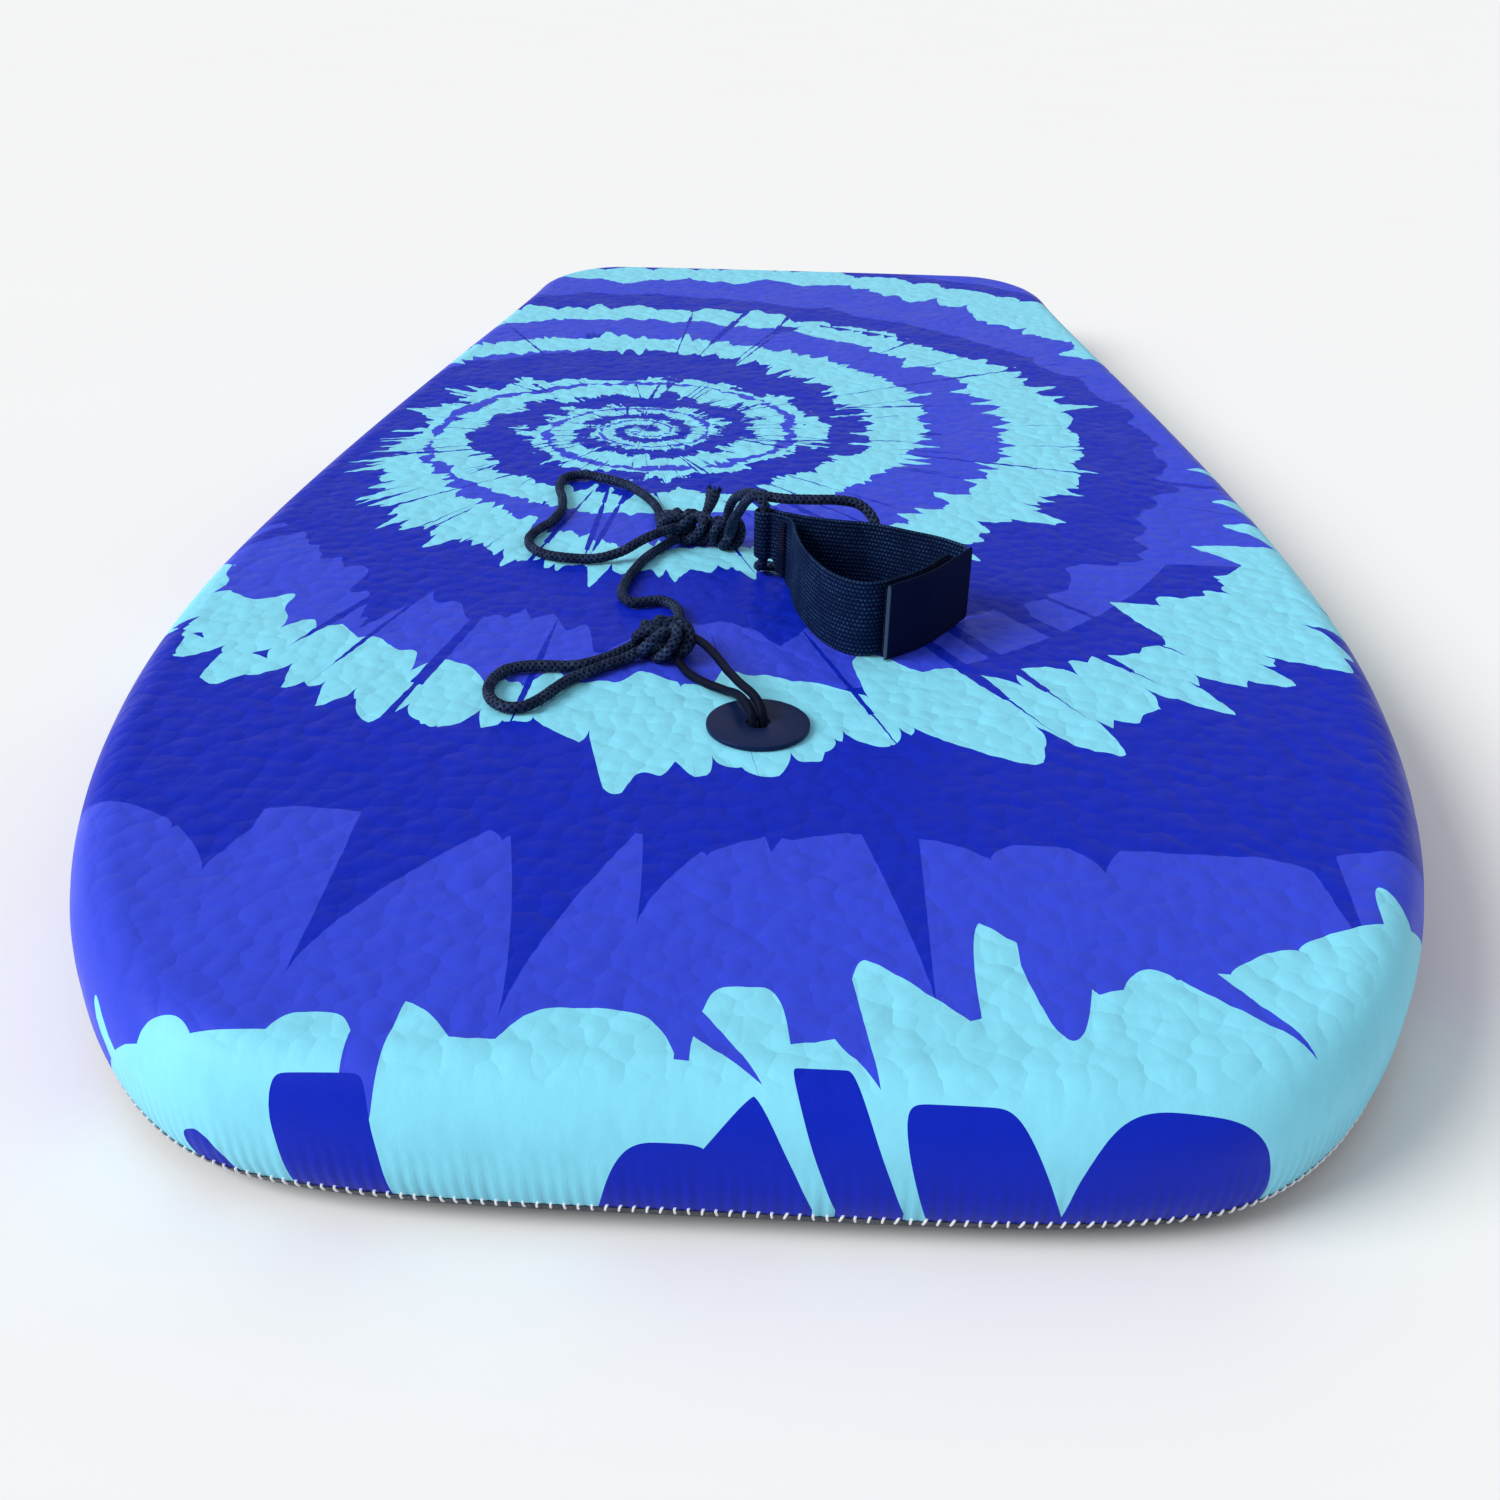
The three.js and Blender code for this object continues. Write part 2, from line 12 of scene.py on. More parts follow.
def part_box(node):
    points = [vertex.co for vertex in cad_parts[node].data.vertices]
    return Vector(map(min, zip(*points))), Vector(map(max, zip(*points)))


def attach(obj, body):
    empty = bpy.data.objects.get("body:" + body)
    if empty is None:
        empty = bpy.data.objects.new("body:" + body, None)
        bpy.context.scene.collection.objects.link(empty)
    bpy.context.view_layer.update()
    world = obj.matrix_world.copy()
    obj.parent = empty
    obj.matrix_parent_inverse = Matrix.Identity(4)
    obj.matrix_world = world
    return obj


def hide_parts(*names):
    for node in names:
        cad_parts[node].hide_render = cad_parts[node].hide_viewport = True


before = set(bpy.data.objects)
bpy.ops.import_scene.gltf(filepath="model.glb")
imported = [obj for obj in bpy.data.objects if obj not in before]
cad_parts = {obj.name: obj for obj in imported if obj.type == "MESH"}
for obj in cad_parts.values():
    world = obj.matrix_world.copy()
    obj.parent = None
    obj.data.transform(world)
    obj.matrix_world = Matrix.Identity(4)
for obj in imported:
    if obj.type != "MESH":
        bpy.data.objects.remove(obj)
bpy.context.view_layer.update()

RANDOM = np.random.default_rng(41)

# ---- camera

CAMERA_PLACE = (0.0157, -0.7936, 0.3016)
CAMERA_PITCH = math.radians(29.125)
CAMERA_YAW = math.radians(-1.936)
CAMERA_ROLL = math.radians(1.183)
CAMERA_LENS_MM = 35.11


def make_camera():
    data = bpy.data.cameras.new("camera")
    data.lens = CAMERA_LENS_MM
    data.clip_start = 0.01
    camera = add_object("camera", data)
    yaw = Matrix.Rotation(-CAMERA_YAW, 4, "Z")
    pitch = Matrix.Rotation(math.pi / 2 - CAMERA_PITCH, 4, "X")
    roll = Matrix.Rotation(CAMERA_ROLL, 4, "Z")
    camera.matrix_world = Matrix.Translation(CAMERA_PLACE) @ yaw @ pitch @ roll
    bpy.context.scene.camera = camera


# ---- meshes

POINTS_PER_SPAN = 24
SHARP_FROM = math.radians(40)


def between(t, start, end, first, second):
    """The point at t on the way from the first point, at start, to the second, at end."""
    return ((end - t) * first + (t - start) * second) / (end - start)


def smooth_line(points, step):
    """A centripetal Catmull-Rom curve through the points, as points about step apart."""
    points = np.array(points, float)
    before = 2 * points[0] - points[1]
    after = 2 * points[-1] - points[-2]
    all_points = np.stack([before, *points, after])
    fine = []
    for p0, p1, p2, p3 in zip(all_points, all_points[1:], all_points[2:], all_points[3:]):
        t1, t2, t3 = np.cumsum(np.linalg.norm([p1 - p0, p2 - p1, p3 - p2], axis=1) ** 0.5)
        t = np.linspace(t1, t2, POINTS_PER_SPAN, endpoint=False)[:, None]
        a1 = between(t, 0.0, t1, p0, p1)
        a2 = between(t, t1, t2, p1, p2)
        a3 = between(t, t2, t3, p2, p3)
        b1 = between(t, 0.0, t2, a1, a2)
        b2 = between(t, t1, t3, a2, a3)
        fine.append(between(t, t1, t2, b1, b2))
    fine.append(points[-1:])
    return evenly(np.concatenate(fine), step)


def lengths_along(line):
    return np.concatenate([[0], np.cumsum(np.linalg.norm(np.diff(line, axis=0), axis=1))])


def evenly(line, step):
    along = lengths_along(line)
    count = max(2, round(along[-1] / step) + 1)
    at = np.linspace(0, along[-1], count)
    return np.stack([np.interp(at, along, line[:, k]) for k in range(line.shape[1])], axis=1)


def unit(vectors):
    return vectors / np.maximum(np.linalg.norm(vectors, axis=-1, keepdims=True), 1e-12)


def frames_along(line):
    """For each point of a line, two directions across it that twist as little as possible."""
    tangents = unit(np.gradient(line, axis=0))
    start = np.array([0, 0, 1.0]) if abs(tangents[0][2]) < 0.9 else np.array([1.0, 0, 0])
    across = [unit(start - tangents[0] * (start @ tangents[0]))]
    for tangent in tangents[1:]:
        last = across[-1]
        across.append(unit(last - tangent * (last @ tangent)))
    across = np.array(across)
    return across, np.cross(tangents, across)


def right_of(directions):
    """The flat directions a quarter turn to the right of each of these."""
    return np.stack([directions[:, 1], -directions[:, 0]], axis=1)


def quads(rows, columns):
    """The faces of a grid of points, as indices, with its last column joined to its first."""
    row = np.arange(rows - 1)[:, None] * columns
    column = np.arange(columns)
    after = (column + 1) % columns
    faces = np.stack([row + column, row + after, row + columns + after, row + columns + column], -1)
    return faces.reshape(-1, 4)


def tree_of(points):
    tree = KDTree(len(points))
    for i, point in enumerate(points):
        tree.insert(point, i)
    tree.balance()
    return tree


def add_object(name, data):
    made = bpy.data.objects.new(name, data)
    bpy.context.collection.objects.link(made)
    return made


def make_piece(name, shape, finish, body, node):
    """A mesh object that rides on a body and stands for a node.

    The shape is its points, its faces and, where its material reads one, a vector on each point.
    """
    points, faces, *weave = shape
    mesh = bpy.data.meshes.new(name)
    mesh.from_pydata(np.asarray(points).tolist(), [], [list(face) for face in faces])
    for vectors in weave:
        attribute = mesh.attributes.new("weave", "FLOAT_VECTOR", "POINT")
        attribute.data.foreach_set("vector", np.asarray(vectors, np.float32).ravel())
    edit = bmesh.new()
    edit.from_mesh(mesh)
    bmesh.ops.recalc_face_normals(edit, faces=edit.faces)
    edit.to_mesh(mesh)
    edit.free()
    mesh.shade_smooth()
    mesh.set_sharp_from_angle(angle=SHARP_FROM)
    mesh.materials.append(finish.material)
    piece = add_object(name, mesh)
    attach(piece, body)
    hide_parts(node)
    return piece


def tube(line, radius_at, sides):
    """A closed tube. radius_at(along, angle) is its radius in metres."""
    across, upward = frames_along(line)
    along = lengths_along(line)[:, None]
    angle = np.linspace(0, math.tau, sides, endpoint=False)[None, :]
    radius = radius_at(along, angle) * np.ones((len(line), sides))
    outward = across[:, None] * np.cos(angle)[..., None] + upward[:, None] * np.sin(angle)[..., None]
    points = line[:, None] + outward * radius[..., None]
    weave = np.stack([along + 0 * angle, 0 * along + angle, radius], axis=-1)
    faces = quads(len(line), sides).tolist()
    last = len(line) * sides
    for start, centre in ((0, last), (last - sides, last + 1)):
        faces += [[start + i, start + (i + 1) % sides, centre] for i in range(sides)]
    points = np.concatenate([points.reshape(-1, 3), line[:1], line[-1:]])
    weave = np.concatenate([weave.reshape(-1, 3), weave[0, :1], weave[-1, :1]])
    return points, faces, weave


def joined(parts):
    """Several (points, faces, weave) as one."""
    points, faces, weave, start = [], [], [], 0
    for some_points, some_faces, some_weave in parts:
        points.append(some_points)
        weave.append(some_weave)
        faces += [[i + start for i in face] for face in some_faces]
        start += len(some_points)
    return np.concatenate(points), faces, np.concatenate(weave)


# ---- materials


class Finish:
    """A material with a Principled shader, and short calls that add nodes to it."""

    def __init__(self, name, colour, roughness, **sockets):
        self.material = bpy.data.materials.new(name)
        self.material.use_nodes = True
        self.tree = self.material.node_tree
        self.shader = self.tree.nodes["Principled BSDF"]
        self.colour(colour)
        self.roughness(roughness)
        for socket, value in sockets.items():
            self.put(self.shader.inputs[socket.replace("_", " ")], value)

    def put(self, socket, value):
        """Links a socket to another's output, or sets its value."""
        if isinstance(value, bpy.types.NodeSocket):
            self.tree.links.new(value, socket)
        elif isinstance(value, tuple) and socket.type == "RGBA":
            socket.default_value = (*value, 1)
        else:
            socket.default_value = value

    def node(self, kind, inputs=(), **settings):
        made = self.tree.nodes.new(kind)
        for name, value in settings.items():
            setattr(made, name, value)
        for socket, value in dict(inputs).items():
            self.put(made.inputs[socket], value)
        return made

    def math(self, operation, *values):
        return self.node("ShaderNodeMath", dict(enumerate(values)), operation=operation).outputs[0]

    def fold(self, operation, values):
        total = values[0]
        for value in values[1:]:
            total = self.math(operation, total, value)
        return total

    def add(self, *values):
        return self.fold("ADD", values)

    def times(self, *values):
        return self.fold("MULTIPLY", values)

    def less(self, first, second):
        return self.math("SUBTRACT", first, second)

    def above(self, value, limit):
        return self.math("GREATER_THAN", value, limit)

    def below(self, value, limit):
        return self.math("LESS_THAN", value, limit)

    def either(self, *masks):
        """1 where any of the masks is 1."""
        return self.fold("MAXIMUM", masks)

    def unless(self, mask, other):
        """1 where the mask is 1 and the other is 0."""
        return self.times(mask, self.less(1.0, other))

    def ramp(self, value, low, high, to_low=0.0, to_high=1.0, kind="SMOOTHSTEP"):
        """The value carried from low..high to to_low..to_high, and held outside it."""
        inputs = {"Value": value, "From Min": low, "From Max": high, "To Min": to_low, "To Max": to_high}
        return self.node("ShaderNodeMapRange", inputs, interpolation_type=kind).outputs[0]

    def mix(self, factor, first, second):
        return self.node("ShaderNodeMix", {0: factor, 6: first, 7: second}, data_type="RGBA").outputs[2]

    def place(self):
        """The point on the piece at rest, in metres."""
        return self.node("ShaderNodeTexCoord").outputs["Object"]

    def attribute(self, name):
        return self.node("ShaderNodeAttribute", attribute_name=name).outputs["Vector"]

    def split(self, vector):
        return self.node("ShaderNodeSeparateXYZ", {0: vector}).outputs[:]

    def join(self, x, y, z=0.0):
        return self.node("ShaderNodeCombineXYZ", {0: x, 1: y, 2: z}).outputs[0]

    def scaled(self, vector, x, y, z):
        inputs = {0: vector, 1: (x, y, z)}
        return self.node("ShaderNodeVectorMath", inputs, operation="MULTIPLY").outputs[0]

    def noise(self, vector, scale, detail=2.0, roughness=0.5):
        inputs = {"Vector": vector, "Scale": scale, "Detail": detail, "Roughness": roughness}
        return self.node("ShaderNodeTexNoise", inputs).outputs["Fac"]

    def cells(self, vector, scale=1.0, feature="F1"):
        inputs = {"Vector": vector, "Scale": scale}
        return self.node("ShaderNodeTexVoronoi", inputs, feature=feature).outputs["Distance"]

    def bump(self, height, depth, strength=1.0):
        inputs = {"Height": height, "Distance": depth, "Strength": strength}
        normal = self.node("ShaderNodeBump", inputs).outputs[0]
        self.put(self.shader.inputs["Normal"], normal)

    def colour(self, value):
        self.put(self.shader.inputs["Base Color"], value)

    def roughness(self, value):
        self.put(self.shader.inputs["Roughness"], value)


LIGHT_BLUE = (0.235, 0.72, 0.92)
VIOLET = (0.035, 0.064, 0.69)
ROYAL_BLUE = (0.0035, 0.019, 0.48)

SPIRAL_X = -0.077
SPIRAL_Y = 0.033
# How far each arm has wound, in turns, by its distance from the spiral's middle.
GROWTH = [(0.008, -2.0), (0.016, -1.5), (0.026, -1.0), (0.038, -0.5), (0.057, 0.0), (0.090, 0.515),
          (0.127, 1.02), (0.205, 1.5), (0.300, 2.0), (0.430, 2.45), (0.600, 3.1)]

# The big teeth of the print near the nose: (tip x, tip y, base x, base y, half width, bluntness).
ROYAL_SPIKES = [
    (-0.122, -0.479, -0.102, -0.4, 0.022, 1.6), (-0.06, -0.493, -0.054, -0.4, 0.02, 1.5),
    (-0.028, -0.449, -0.017, -0.394, 0.015, 1.6), (0.057, -0.479, 0.047, -0.388, 0.01, 1.2),
    (0.114, -0.412, 0.112, -0.393, 0.013, 1.5), (0.183, -0.45, 0.184, -0.374, 0.007, 0.9),
    (-0.163, -0.43, -0.168, -0.405, 0.012, 1.4), (0.01, -0.408, 0.011, -0.39, 0.006, 1.2),
]
LIGHT_FLAMES = [
    (-0.181, -0.48, -0.179, -0.52, 0.007, 0.5), (-0.15, -0.495, -0.15, -0.51, 0.014, 0.4),
    (-0.108, -0.493, -0.108, -0.506, 0.013, 0.3), (-0.087, -0.487, -0.081, -0.504, 0.012, 0.45),
    (-0.036, -0.487, -0.036, -0.504, 0.024, 0.25), (-0.085, -0.501, -0.085, -0.52, 0.074, 0.08),
    (0.005, -0.475, 0.005, -0.5, 0.013, 0.2), (0.038, -0.461, 0.056, -0.5, 0.022, 0.7),
    (0.072, -0.441, 0.094, -0.492, 0.025, 0.8), (0.118, -0.46, 0.12, -0.5, 0.018, 0.45),
    (0.174, -0.45, 0.17, -0.5, 0.03, 0.45), (0.197, -0.414, 0.204, -0.47, 0.012, 0.5),
]
VIOLET_TEETH = [
    (-0.093, -0.526, -0.091, -0.48, 0.0055, 0.1), (0.011, -0.512, -0.017, -0.482, 0.008, 0.9),
    (0.041, -0.512, 0.022, -0.468, 0.012, 1.0), (0.157, -0.492, 0.122, -0.452, 0.009, 0.9),
    (0.092, -0.492, 0.092, -0.46, 0.01, 0.5),
]
ROYAL_BLOCKS = [
    (-0.103, -0.513, -0.103, -0.56, 0.0155, 0.08), (-0.012, -0.528, -0.012, -0.56, 0.02, 0.25),
    (0.009, -0.515, 0.004, -0.55, 0.021, 0.8), (0.026, -0.507, 0.04, -0.55, 0.009, 0.05),
    (0.061, -0.515, 0.074, -0.552, 0.019, 0.12), (0.122, -0.513, 0.132, -0.556, 0.041, 0.3),
    (-0.15, -0.528, -0.146, -0.56, 0.012, 0.3),
]


def teeth_mask(f, x, y, teeth):
    """1 inside any of the teeth, each of which widens from its tip to its base and beyond.

    A sharp tooth, of bluntness over 1, also curves from its tip towards its base.
    """
    mask = 0.0
    for tip_x, tip_y, base_x, base_y, half_width, bluntness in teeth:
        share = f.ramp(y, tip_y, base_y, 0.0, 1.0, "LINEAR")
        lean = f.math("POWER", share, max(bluntness, 1.0))
        centre = f.math("MULTIPLY_ADD", lean, base_x - tip_x, tip_x)
        reach = f.times(f.math("POWER", share, bluntness), half_width)
        mask = f.either(mask, f.math("COMPARE", x, centre, reach))
    return mask


def turns_wound(f, radius):
    """The growth table as a smooth curve over the logarithm of the radius."""
    nearest, first_turn = GROWTH[0]
    farthest, last_turn = GROWTH[-1]
    span = math.log(farthest / nearest)
    share = f.math("DIVIDE", f.math("LOGARITHM", f.math("DIVIDE", radius, nearest), math.e), span)
    node = f.node("ShaderNodeFloatCurve", {"Value": share})
    curve = node.mapping.curves[0]
    for distance, turn in GROWTH[1:-1]:
        along = math.log(distance / nearest) / span
        curve.points.new(along, (turn - first_turn) / (last_turn - first_turn))
    node.mapping.update()
    return f.ramp(node.outputs[0], 0.0, 1.0, first_turn, last_turn, "LINEAR")


def printed_cover():
    """A generic spiral of two light arms on violet and royal blue, with teeth along their edges.

    The "weave" vector holds the flattened cover's coordinates, so that the print runs on down over
    the rails, and how far the cloth is gathered in towards the seam. Along each half turn the phase
    goes through light, royal blue and violet to light.
    """
    f = Finish("printed_cover", ROYAL_BLUE, 0.4, Specular_IOR_Level=0.08)
    sheet_x, sheet_y, gathered = f.split(f.attribute("weave"))
    x = f.less(sheet_x, SPIRAL_X)
    y = f.less(sheet_y, SPIRAL_Y)
    radius = f.math("MAXIMUM", f.math("SQRT", f.add(f.times(x, x), f.times(y, y))), 0.004)
    angle = f.math("ARCTAN2", x, f.times(y, -1.0))
    turns = f.math("FRACT", f.add(f.math("DIVIDE", angle, math.tau), 1.0))
    noseward = f.math("DIVIDE", f.times(y, -1.0), radius)
    sideways = f.math("DIVIDE", x, radius)

    # The outer turns are drawn out towards the nose, and the sides are pressed in a little.
    drawn = f.add(
        f.times(f.ramp(radius, 0.17, 0.48, 0.0, 0.235, "LINEAR"), f.ramp(noseward, -1.0, 1.0)),
        f.times(f.ramp(radius, 0.36, 0.43, 0.0, 0.065, "LINEAR"), f.ramp(noseward, -0.5, -0.8),
                f.ramp(sideways, -0.1, 0.3)))
    wound = turns_wound(f, f.times(radius, f.less(1.0, drawn)))
    wound = f.add(wound, f.times(sideways, sideways, f.ramp(wound, 0.8, 1.3, 0.0, 0.08)))
    lag = f.math("FRACT", f.add(f.less(wound, turns), 8.0))
    second_at = f.add(f.ramp(wound, 1.05, 1.45, 0.275, 0.41), f.ramp(wound, 1.45, 1.8, 0.0, 0.045))
    second_arm = f.above(lag, second_at)
    to_second = f.ramp(lag, 0.0, second_at, 0.0, 1.0, "LINEAR")
    past_second = f.ramp(lag, second_at, 1.0, 0.0, 1.0, "LINEAR")
    phase = f.math("FRACT", f.add(to_second, past_second))

    def around(count, seed, slant):
        """A place that runs round the spiral, with about count features in each radian."""
        across = f.add(f.times(sideways, count), seed)
        return f.join(across, f.times(noseward, count), f.times(wound, slant))

    def gaps(count, seed, slant=0.7):
        """The distance to the cracks between cells spread round the spiral, 0 at each crack."""
        return f.cells(around(count, seed, slant), 1.0, "DISTANCE_TO_EDGE")

    def uneven_size(count, seed):
        return f.ramp(f.noise(around(count, seed + 5.0, 1.5), 1.0, 1.0), 0.36, 0.66)

    def lobes(count, seed, size):
        """Round lobes with sharp cuts between them."""
        return f.times(f.math("POWER", f.times(gaps(count, seed), 2.2), 0.5), size)

    def flames(count, seed, size):
        """Pointed teeth of uneven length."""
        return f.times(gaps(count, seed, 1.2), 2.4, uneven_size(count, seed), size)

    def spikes(count, seed, width, size):
        """Narrow spikes at the cracks."""
        rise = f.ramp(gaps(count, seed), 0.0, width, 1.0, 0.0, "LINEAR")
        return f.times(rise, uneven_size(count * 0.7, seed), size)

    def by_wound(near, far, limit=1.98):
        """One value for the inner and middle turns and another for the outermost."""
        return blend(f.above(wound, limit), near, far)

    def blend(share, first, second):
        return f.add(f.times(f.less(1.0, share), first), f.times(share, second))

    # Near the middle the two arms lie close together; the first is thick and the second thin.
    broad = around(1.0, 0.0, 0.5)
    drift = f.less(f.noise(broad, 1.7), 0.5)
    nose_half = f.ramp(noseward, -0.3, 0.0)
    calm = f.less(1.0, f.times(f.ramp(wound, 2.2, 2.3), nose_half))
    nose = f.ramp(sheet_y, -0.40, -0.45)
    wide = f.ramp(wound, 1.0, 1.3)
    half_width = f.add(
        f.ramp(wound, 1.4, 2.1, 0.20, 0.16), f.ramp(noseward, 0.3, -0.7, 0.0, 0.05),
        f.times(f.ramp(sideways, 0.3, 0.9, 0.0, 0.06), f.ramp(noseward, 0.6, 0.3)))

    def rough(seed):
        """Blots near the middle, from about -1 to 1."""
        blots = f.noise(around(3.4, seed, 2.6), 1.0, 3.0, 0.6)
        return f.times(f.less(1.0, wide), f.less(f.times(blots, 2.0), 1.0))

    light_out = f.add(
        blend(wide, blend(second_arm, 0.55, 0.16), half_width), f.times(drift, 0.12),
        f.times(rough(80.0), 0.8), by_wound(-0.13, -0.14),
        by_wound(lobes(7.5, 3.1, 0.11), lobes(10.0, 3.1, 0.15)),
        by_wound(0.0, lobes(3.5, 5.0, 0.07)),
        by_wound(flames(17.0, 8.3, 0.24), flames(13.0, 9.3, 0.12)),
        f.times(f.ramp(wound, 2.35, 2.45, 0.0, 0.1), nose_half),
    )
    light_in = f.less(1.0, f.add(
        blend(wide, blend(second_arm, 0.22, 0.32), half_width), f.times(rough(86.0), 0.6),
        f.times(nose, f.add(f.times(sheet_x, 0.73), lobes(6.0, 33.0, 0.06), -0.005)),
        f.times(calm, f.add(
            f.times(drift, -0.1), -0.13,
            by_wound(lobes(8.0, 21.0, 0.11), lobes(6.0, 23.0, 0.14), 1.8),
            by_wound(flames(15.0, 26.0, 0.24), flames(12.0, 28.0, 0.16), 1.8),
        )),
    ))

    # The share of the phase that is royal blue, in each of the arms.
    outer = f.ramp(wound, 1.85, 2.1)
    first_share = f.ramp(wound, 1.85, 2.08, 0.0, 0.36)
    second_share = f.add(f.ramp(wound, 1.15, 1.6, 1.2, 0.50), f.times(f.ramp(wound, 2.25, 2.4), nose_half))
    royal_out = f.add(
        blend(second_arm, first_share, second_share),
        blend(outer, spikes(8.5, 40.0, 0.3, 0.3), spikes(8.0, 44.0, 0.25, 0.06)),
        blend(outer, flames(12.0, 52.0, 0.14), lobes(4.5, 55.0, -0.06)),
    )

    # Towards the nose the royal band ends in a scalloped edge right across the board.
    scallops = f.add(lobes(4.5, 61.0, 0.022), -0.408)
    across_nose = f.times(f.above(sheet_y, scallops), f.below(sheet_y, -0.15), f.above(wound, 2.0))

    # Thin royal slits cross the light bands.
    slit_width = f.times(
        f.ramp(phase, 0.0, 0.3, 0.012, 0.03), f.ramp(f.noise(broad, 3.1), 0.45, 0.6),
        f.ramp(wound, 2.0, 2.15, 1.0, 0.0))
    slit = f.below(gaps(6.5, 73.0, 0.3), slit_width)

    spike = f.times(teeth_mask(f, sheet_x, sheet_y, ROYAL_SPIKES), f.below(sheet_y, -0.37))
    flame = teeth_mask(f, sheet_x, sheet_y, LIGHT_FLAMES)
    tooth = f.times(teeth_mask(f, sheet_x, sheet_y, VIOLET_TEETH), f.below(sheet_y, -0.445))
    block = teeth_mask(f, sheet_x, sheet_y, ROYAL_BLOCKS)
    light_band = f.either(f.below(phase, light_out), f.above(phase, light_in))
    is_light = f.unless(f.either(f.unless(light_band, slit), flame), f.either(tooth, block))
    royal_band = f.either(f.below(phase, royal_out), slit, across_nose, spike)
    is_royal = f.either(f.unless(royal_band, tooth), block)
    ink = f.mix(is_light, f.mix(is_royal, VIOLET, ROYAL_BLUE), LIGHT_BLUE)

    # The ink is a little uneven, as streaks along the board, and the gathers near the seam are darkened as
    # painted shade in their creases.
    place = f.place()
    streaks = f.noise(f.scaled(place, 260.0, 40.0, 90.0), 1.0, 3.0)
    blotches = f.noise(place, 38.0, 2.0)
    ink_tone_and_gather_shade = f.add(f.times(streaks, 0.16), f.times(blotches, 0.14), f.times(gathered, -0.42), 0.85)
    f.colour(f.node("ShaderNodeHueSaturation", {"Value": ink_tone_and_gather_shade, "Color": ink}).outputs[0])
    f.roughness(f.ramp(blotches, 0.3, 0.7, 0.36, 0.47))
    grain = f.noise(place, 1500.0, 1.0)
    pores = f.cells(place, 420.0)
    _, _, height = f.split(place)
    on_deck = f.ramp(height, 0.045, 0.0492)
    hollows = f.times(f.math("POWER", f.cells(place, 1.0 / DIMPLE_SPACING), 2.0), on_deck)
    cloth = f.add(f.times(grain, 0.06), f.times(pores, 0.07), f.times(gathered, -0.5))
    f.bump(f.add(cloth, f.times(hollows, -1.25)), 0.0010, 0.6)
    return f


def slick_panel():
    f = Finish("slick_panel", (0.02, 0.03, 0.05), 0.36, Specular_IOR_Level=0.2)
    place = f.place()
    scratches = f.noise(f.scaled(place, 900.0, 14.0, 200.0), 1.0, 3.0)
    clouds = f.noise(place, 24.0, 3.0)
    f.colour(f.mix(f.ramp(clouds, 0.35, 0.7), (0.016, 0.024, 0.043), (0.026, 0.037, 0.062)))
    f.roughness(f.ramp(scratches, 0.3, 0.7, 0.3, 0.48))
    f.bump(f.add(scratches, f.times(f.noise(place, 160.0), 0.5)), 0.0001, 0.5)
    return f


def foam_beads():
    f = Finish("foam_beads", (0.9, 0.9, 0.88), 0.85)
    beads = f.cells(f.place(), 260.0)
    f.colour(f.mix(f.ramp(beads, 0.3, 0.7), (0.92, 0.92, 0.90), (0.74, 0.75, 0.75)))
    f.bump(beads, 0.0006, 0.8)
    return f


def sewing_thread():
    f = Finish("sewing_thread", (0.86, 0.88, 0.9), 0.6, Sheen_Weight=0.3)
    twist = f.noise(f.scaled(f.place(), 2500.0, 2500.0, 900.0), 1.0)
    f.colour(f.mix(twist, (0.62, 0.66, 0.72), (0.95, 0.96, 0.97)))
    f.bump(twist, 0.0001, 0.6)
    return f


def moulded_plastic():
    f = Finish("moulded_plastic", (0.005, 0.014, 0.066), 0.34, Specular_IOR_Level=0.12)
    place = f.place()
    clouds = f.noise(place, 70.0, 3.0)
    f.colour(f.mix(clouds, (0.003, 0.0105, 0.054), (0.0055, 0.016, 0.072)))
    f.roughness(f.ramp(clouds, 0.3, 0.7, 0.28, 0.44))
    f.bump(f.noise(place, 900.0), 0.00006, 0.6)
    return f


def cord_fibre(name, dark, pale, twist, rough):
    """Twisted or braided fibres. The weave vector is (distance along, angle round, radius)."""
    f = Finish(name, dark, rough, Specular_IOR_Level=0.08)
    along, angle, radius = f.split(f.attribute("weave"))
    lean = f.add(f.times(along, twist), f.times(angle, 0.6))
    fibres = f.noise(f.join(f.times(along, 500.0), f.times(lean, 9.0), 0.0), 1.0, 2.0)
    # The pale colour on the thickest parts of the strands is a painted highlight, broken up by fibre noise
    # and random patches.
    highlight_patches = f.noise(f.place(), 160.0, 2.0)
    painted_crown_highlight = f.times(f.ramp(fibres, 0.35, 0.7, 0.1, 1.0), f.ramp(highlight_patches, 0.35, 0.7, 0.4, 1.0))
    painted_crown_highlight = f.times(painted_crown_highlight, f.ramp(radius, 0.0019, 0.00226))
    f.colour(f.mix(painted_crown_highlight, dark, pale))
    f.bump(fibres, 0.00025, 0.8)
    return f


WEAVE_PITCH = 0.0018
SEALED_EDGE = (0.05, 0.085, 0.15)


